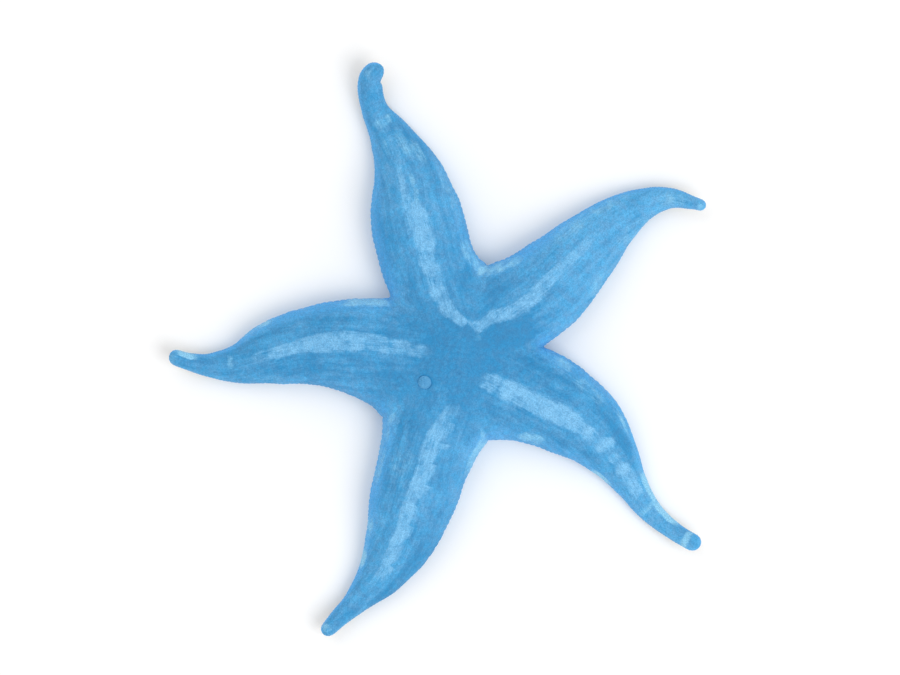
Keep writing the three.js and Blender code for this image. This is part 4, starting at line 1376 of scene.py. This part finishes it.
def foot_row(pile, arm, side):
    """A row of tube feet on one side of an arm's groove."""
    stop = arm.length - FEET_BEFORE_END * arm.rounding
    stations = stations_along(arm, draws.uniform(*FOOT_FROM), stop, foot_pitch)
    count = len(stations)
    stations += stray(FOOT_STRAY[0], count)
    sections = Sections(arm, stations)
    wide = sections.groove * sections.reach
    shares = side * sections.groove * (FOOT_PLACE + stray(FOOT_STRAY[1], count))
    depth = sections.under(shares[:, None])[:, 0]
    lift = np.minimum(draws.uniform(*FOOT_LIFT, count), FOOT_LIFT_SHARE * depth)
    root = spot(sections, shares, -FOOT_SUNK * wide / GROOVE_HALF)
    splay = side * sections.groove * draws.uniform(*FOOT_SPLAY, count)
    end = sections.points((shares + splay)[:, None], lift[:, None])[:, 0]
    end += sections.forward * (wide * stray(FOOT_LEAN, count))[:, None]
    sucker = FOOT_RADIUS * wide * draws.uniform(*FOOT_SIZES, count)
    bow = sections.across * (wide * stray(FOOT_BOW, count))[:, None]
    uv = uv_of(arm.index, False, stations, shares * sections.reach)
    feet_into(pile, root, end, sucker, bow, sections.across, uv)


def make_tube_feet():
    pile = Pile(len(SHAFT_RINGS + SUCKER_RINGS), FOOT_SIDES)
    for arm in arms:
        for side in (1, -1):
            foot_row(pile, arm, side)
    feet = pile.make("tube_feet", foot_material())


def spines_into(pile, root, direction, length, radius, beside, uv):
    """Blunt spines from their roots, all of the pile's own outline."""
    along = np.array([0] + [share for share, _ in SPINE_RINGS] + [1])
    centres = root[:, None] + direction[:, None] * (length[:, None] * along)[..., None]
    radii = radius[:, None] * np.array([share for _, share in SPINE_RINGS])
    axes = np.repeat(direction[:, None], len(SPINE_RINGS), axis=1)
    pile.add(centres, axes, radii, beside, uv)


def spinelet_rows(pile, arm, side):
    """The spinelets along one side of an arm's groove, some on each small plate."""
    stop = arm.length - SPINES_BEFORE_END * arm.rounding
    plates = stations_along(arm, SPINES_FROM, stop, spine_pitch)
    count = len(plates)
    size = np.array([spine_pitch(groove_half(arm, station)) / SPINE_PITCH for station in plates])
    for along, beyond, lean, long, thick in SPINELETS:
        stations = plates + size * (SPINE_PITCH * along + stray(SPINE_STRAY, count))
        sections = Sections(arm, stations)
        shares = side * (sections.groove + beyond * size / sections.reach)
        root = spot(sections, shares, -SPINE_SUNK * size)
        inward = -side * sections.across
        swing = stray(SPINE_SWING, count)[:, None]
        direction = unit(inward * lean - sections.up * SPINE_DROP + sections.forward * swing)
        length = long * size * draws.uniform(*SPINE_LENGTHS, count)
        radius = thick * size * draws.uniform(*SPINE_RADII, count)
        uv = uv_of(arm.index, False, stations, shares * sections.reach)
        spines_into(pile, root, direction, length, radius, sections.forward, uv)


def jaw_spines(pile, arm):
    """The fans of spines on the jaw to the left of an arm. They point in over the mouth."""
    outward = unit(arm.edges[0])
    sideways = np.array([-outward[1], outward[0], 0])
    for fan, start, height, spread, turn, rise, long, thick in JAW_FANS:
        fan = np.array(fan)[:, None]
        count = len(fan)
        root = outward * start + sideways * spread * fan + UP * height
        direction = unit(-outward + sideways * turn * fan + UP * rise)
        shorter = 1 - JAW_SHORTENING * np.abs(fan[:, 0])
        length = long * shorter * draws.uniform(*JAW_LENGTHS, count)
        uv = uv_of(arm.index, False, np.full(count, start), np.full(count, JAW_UV_ASIDE))
        beside = np.repeat([UP], count, axis=0)
        spines_into(pile, root, direction, length, np.full(count, thick), beside, uv)


def make_spines():
    pile = Pile(len(SPINE_RINGS), SPINE_SIDES)
    for arm in arms:
        for side in (1, -1):
            spinelet_rows(pile, arm, side)
    for arm in arms:
        jaw_spines(pile, arm)
    spines = pile.make("furrow_spines", spine_material())


def turned_points(rings, sides, seat, axis, poles, height_at=None):
    """Points of a solid turned about an axis at a seat: its first pole, its rings by radius and
    height, and its last pole. The height may also vary around a ring."""
    angle = turn_round(sides)
    radius, height = np.array(rings).T[..., None]
    if height_at:
        height = height + height_at(radius, angle[None])
    u = unit(np.cross([0, 1.0, 0], axis))
    v = np.cross(axis, u)
    flat = radius[..., None] * (np.cos(angle)[None, :, None] * u + np.sin(angle)[None, :, None] * v)
    first, last = (seat + axis * pole for pole in poles)
    return np.vstack([first, (seat + flat + height[..., None] * axis).reshape(-1, 3), last])


def make_peristome():
    """The folded skin round the mouth, in the roof of the star-shaped recess. It turns downwards."""
    sides = FOLD_SIDES * LIP_FOLDS
    radii = PERISTOME_RADIUS * np.linspace(0, 1, PERISTOME_RINGS + 1)[1:]
    (inner, inner_run), (outer, outer_run) = PERISTOME_RISES
    height = PERISTOME_HEIGHT + inner * smooth((LIP_RADIUS - radii) / inner_run)
    height += outer * (np.maximum(radii - LIP_RADIUS, 0) / outer_run) ** 2
    under = list(zip(radii, height))
    edge_height, edge_inset = PERISTOME_EDGE
    rim = [(PERISTOME_RADIUS, edge_height)]
    rim += [(radius, PERISTOME_BACK) for radius in (PERISTOME_RADIUS - edge_inset, PERISTOME_RADIUS / 2)]
    sway, waves, twist = FOLD_WAVES

    def folds(radius, angle):
        deep = ease(radius, *FOLD_INNER) * ease(PERISTOME_RADIUS - radius, *FOLD_OUTER)
        wavy = angle + sway * np.sin(waves * angle + twist * radius)
        return FOLD_DEPTH * deep * np.cos(LIP_FOLDS * wavy)

    poles = (PERISTOME_HEIGHT + inner, PERISTOME_BACK)
    points = turned_points(under + rim, sides, np.zeros(3), UP, poles, folds)
    faces, uv = closed_grid(len(under) + len(rim), sides)
    form = three(np.hypot(points[:, 0], points[:, 1]) / PERISTOME_RADIUS)
    mouth = make_mesh("peristome", points, faces, uv, mouth_material(), of_form=form)
    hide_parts("mouth")


def make_sieve_plate():
    """The madreporite: a low dome with fine winding grooves that run out to its edge."""
    seat, axis = madreporite_seat()
    radius = MADREPORITE_RADIUS - SIEVE_GAP
    out = np.concatenate([np.linspace(0, SIEVE_FLAT, SIEVE_RINGS + 1)[1:], SIEVE_EDGE])
    start, stop = SIEVE_CALM
    turn, phase = SIEVE_TURN

    def dome(share):
        flat, round_off = SIEVE_CURVE
        return SIEVE_DOME[0] * (1 - np.minimum(share, 1) ** flat) ** round_off + SIEVE_DOME[1]

    lift = dome(out)
    lift[-1] = -SIEVE_ROOT
    rings = [(radius * r, z) for r, z in zip(out, lift)]

    def grooves(r, angle):
        share = r / radius
        x, y = share * np.cos(angle), share * np.sin(angle)
        warp = sum(much * noise_at(scale * x, scale * y, z) for much, scale, z in SIEVE_WARPS)
        waves = [np.cos(count * (angle + turn * warp) + phase * warp) for count in SIEVE_FORKS]
        wave = waves[0]
        for finer, fork in zip(waves[1:], SIEVE_FORKS_AT):
            wave = lerp(wave, finer, ease(share, *fork))
        return SIEVE_GROOVE * ease(share, 0, start) * ease(share, 1, stop) * wave

    points = turned_points(rings, SIEVE_SIDES, seat, axis, (sum(SIEVE_DOME), -SIEVE_ROOT), grooves)
    faces, uv = closed_grid(len(rings), SIEVE_SIDES)
    heights = (points - seat) @ axis
    share = np.linalg.norm(points - seat - heights[:, None] * axis, axis=1) / radius
    crest = (heights - dome(share)) / SIEVE_GROOVE
    form = three(share, crest)
    plate = make_mesh("sieve_plate", points, faces[:, ::-1], uv[:, ::-1], sieve_material(), of_form=form)
    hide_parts("madreporite")


def make_eye(arm, material):
    """The red eye spot under the end of an arm, a ball of many small cups."""
    section = Sections(arm, np.array([arm.length - EYE_INSET]))
    seat = section.origin[0] + section.up[0] * EYE_HEIGHT * section.rim_over[0]
    rings, sides = EYE_GRID
    angles = np.linspace(0, math.pi, rings + 2)[1:-1]
    profile = np.column_stack([np.sin(angles), -np.cos(angles)])
    ball = turned_points(profile, sides, np.zeros(3), UP, (-1, 1))
    i = np.arange(EYE_CUPS) + 0.5
    up, turn = 1 - 2 * i / EYE_CUPS, i * GOLDEN_TURN
    flat = np.sqrt(1 - up * up)
    centres = np.column_stack([flat * np.cos(turn), flat * np.sin(turn), up])
    near = np.linalg.norm(ball[:, None] - centres[None], axis=2).min(axis=1)
    width, depth = EYE_CUP
    cup = bell(near, 0, width)
    points = seat + ball * (EYE_RADIUS * (1 - depth * cup))[:, None]
    faces, uv = closed_grid(rings, sides)
    eye = make_mesh(f"eye_{arm.letter}", points, faces, uv, material, of_form=three(cup))
    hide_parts(f"eye_spot_{arm.letter}")


# ---------------- floor, light and camera

PHOTO_CENTRE = (4.75, 4.74)  # the middle of the picture, seen from the middle of the outline
PHOTO_WIDTH = 337.5  # of the picture, at the height of the focus
LENS = 200
SENSOR = 36
FOCUS_HEIGHT = 6  # the outline's usual height above the floor
FLOOR_HALF = 6  # metres
FLOOR_GAP = 0.00005
FAR = 20  # metres that the camera sees
SKY_STRENGTH = 0.77
# Name, place in metres, size and watts.
LAMPS = [("key", (0.9, -0.6, 1.5), 1.2, 13), ("fill", (-0.8, 0.9, 1.6), 1.4, 5)]


def make_floor():
    mesh = bpy.data.meshes.new("floor")
    corners = [(FLOOR_HALF * x, FLOOR_HALF * y, 0) for x, y in ((-1, -1), (1, -1), (1, 1), (-1, 1))]
    mesh.from_pydata(corners, [], [(0, 1, 2, 3)])
    mesh.materials.append(floor_material())
    floor = in_scene("floor", mesh)
    floor.location.z = -FLOOR_GAP


def make_lights():
    world = bpy.data.worlds.new("studio")
    world.use_nodes = True
    background = world.node_tree.nodes["Background"]
    background.inputs["Color"].default_value = (1, 1, 1, 1)
    background.inputs["Strength"].default_value = SKY_STRENGTH
    bpy.context.scene.world = world
    for name, place, size, power in LAMPS:
        light = bpy.data.lights.new(name, "AREA")
        light.size = size
        light.energy = power
        lamp = in_scene(name, light)
        lamp.location = place
        lamp.rotation_euler = (-Vector(place)).to_track_quat("-Z", "Y").to_euler()


def make_camera():
    camera = in_scene("camera", bpy.data.cameras.new("camera"))
    camera.data.lens = LENS
    camera.data.sensor_width = SENSOR
    distance = PHOTO_WIDTH * LENS / SENSOR
    camera.location = Vector((*PHOTO_CENTRE, FOCUS_HEIGHT + distance)) * MM
    camera.data.clip_end = FAR
    bpy.context.scene.camera = camera


make_camera()
make_lights()
make_floor()
make_skin()
make_tube_feet()
make_spines()
make_peristome()
make_sieve_plate()
eye_pigment = eye_material()
for arm in arms:
    make_eye(arm, eye_pigment)

bpy.context.scene.view_settings.view_transform = "Standard"
bpy.context.view_layer.update()
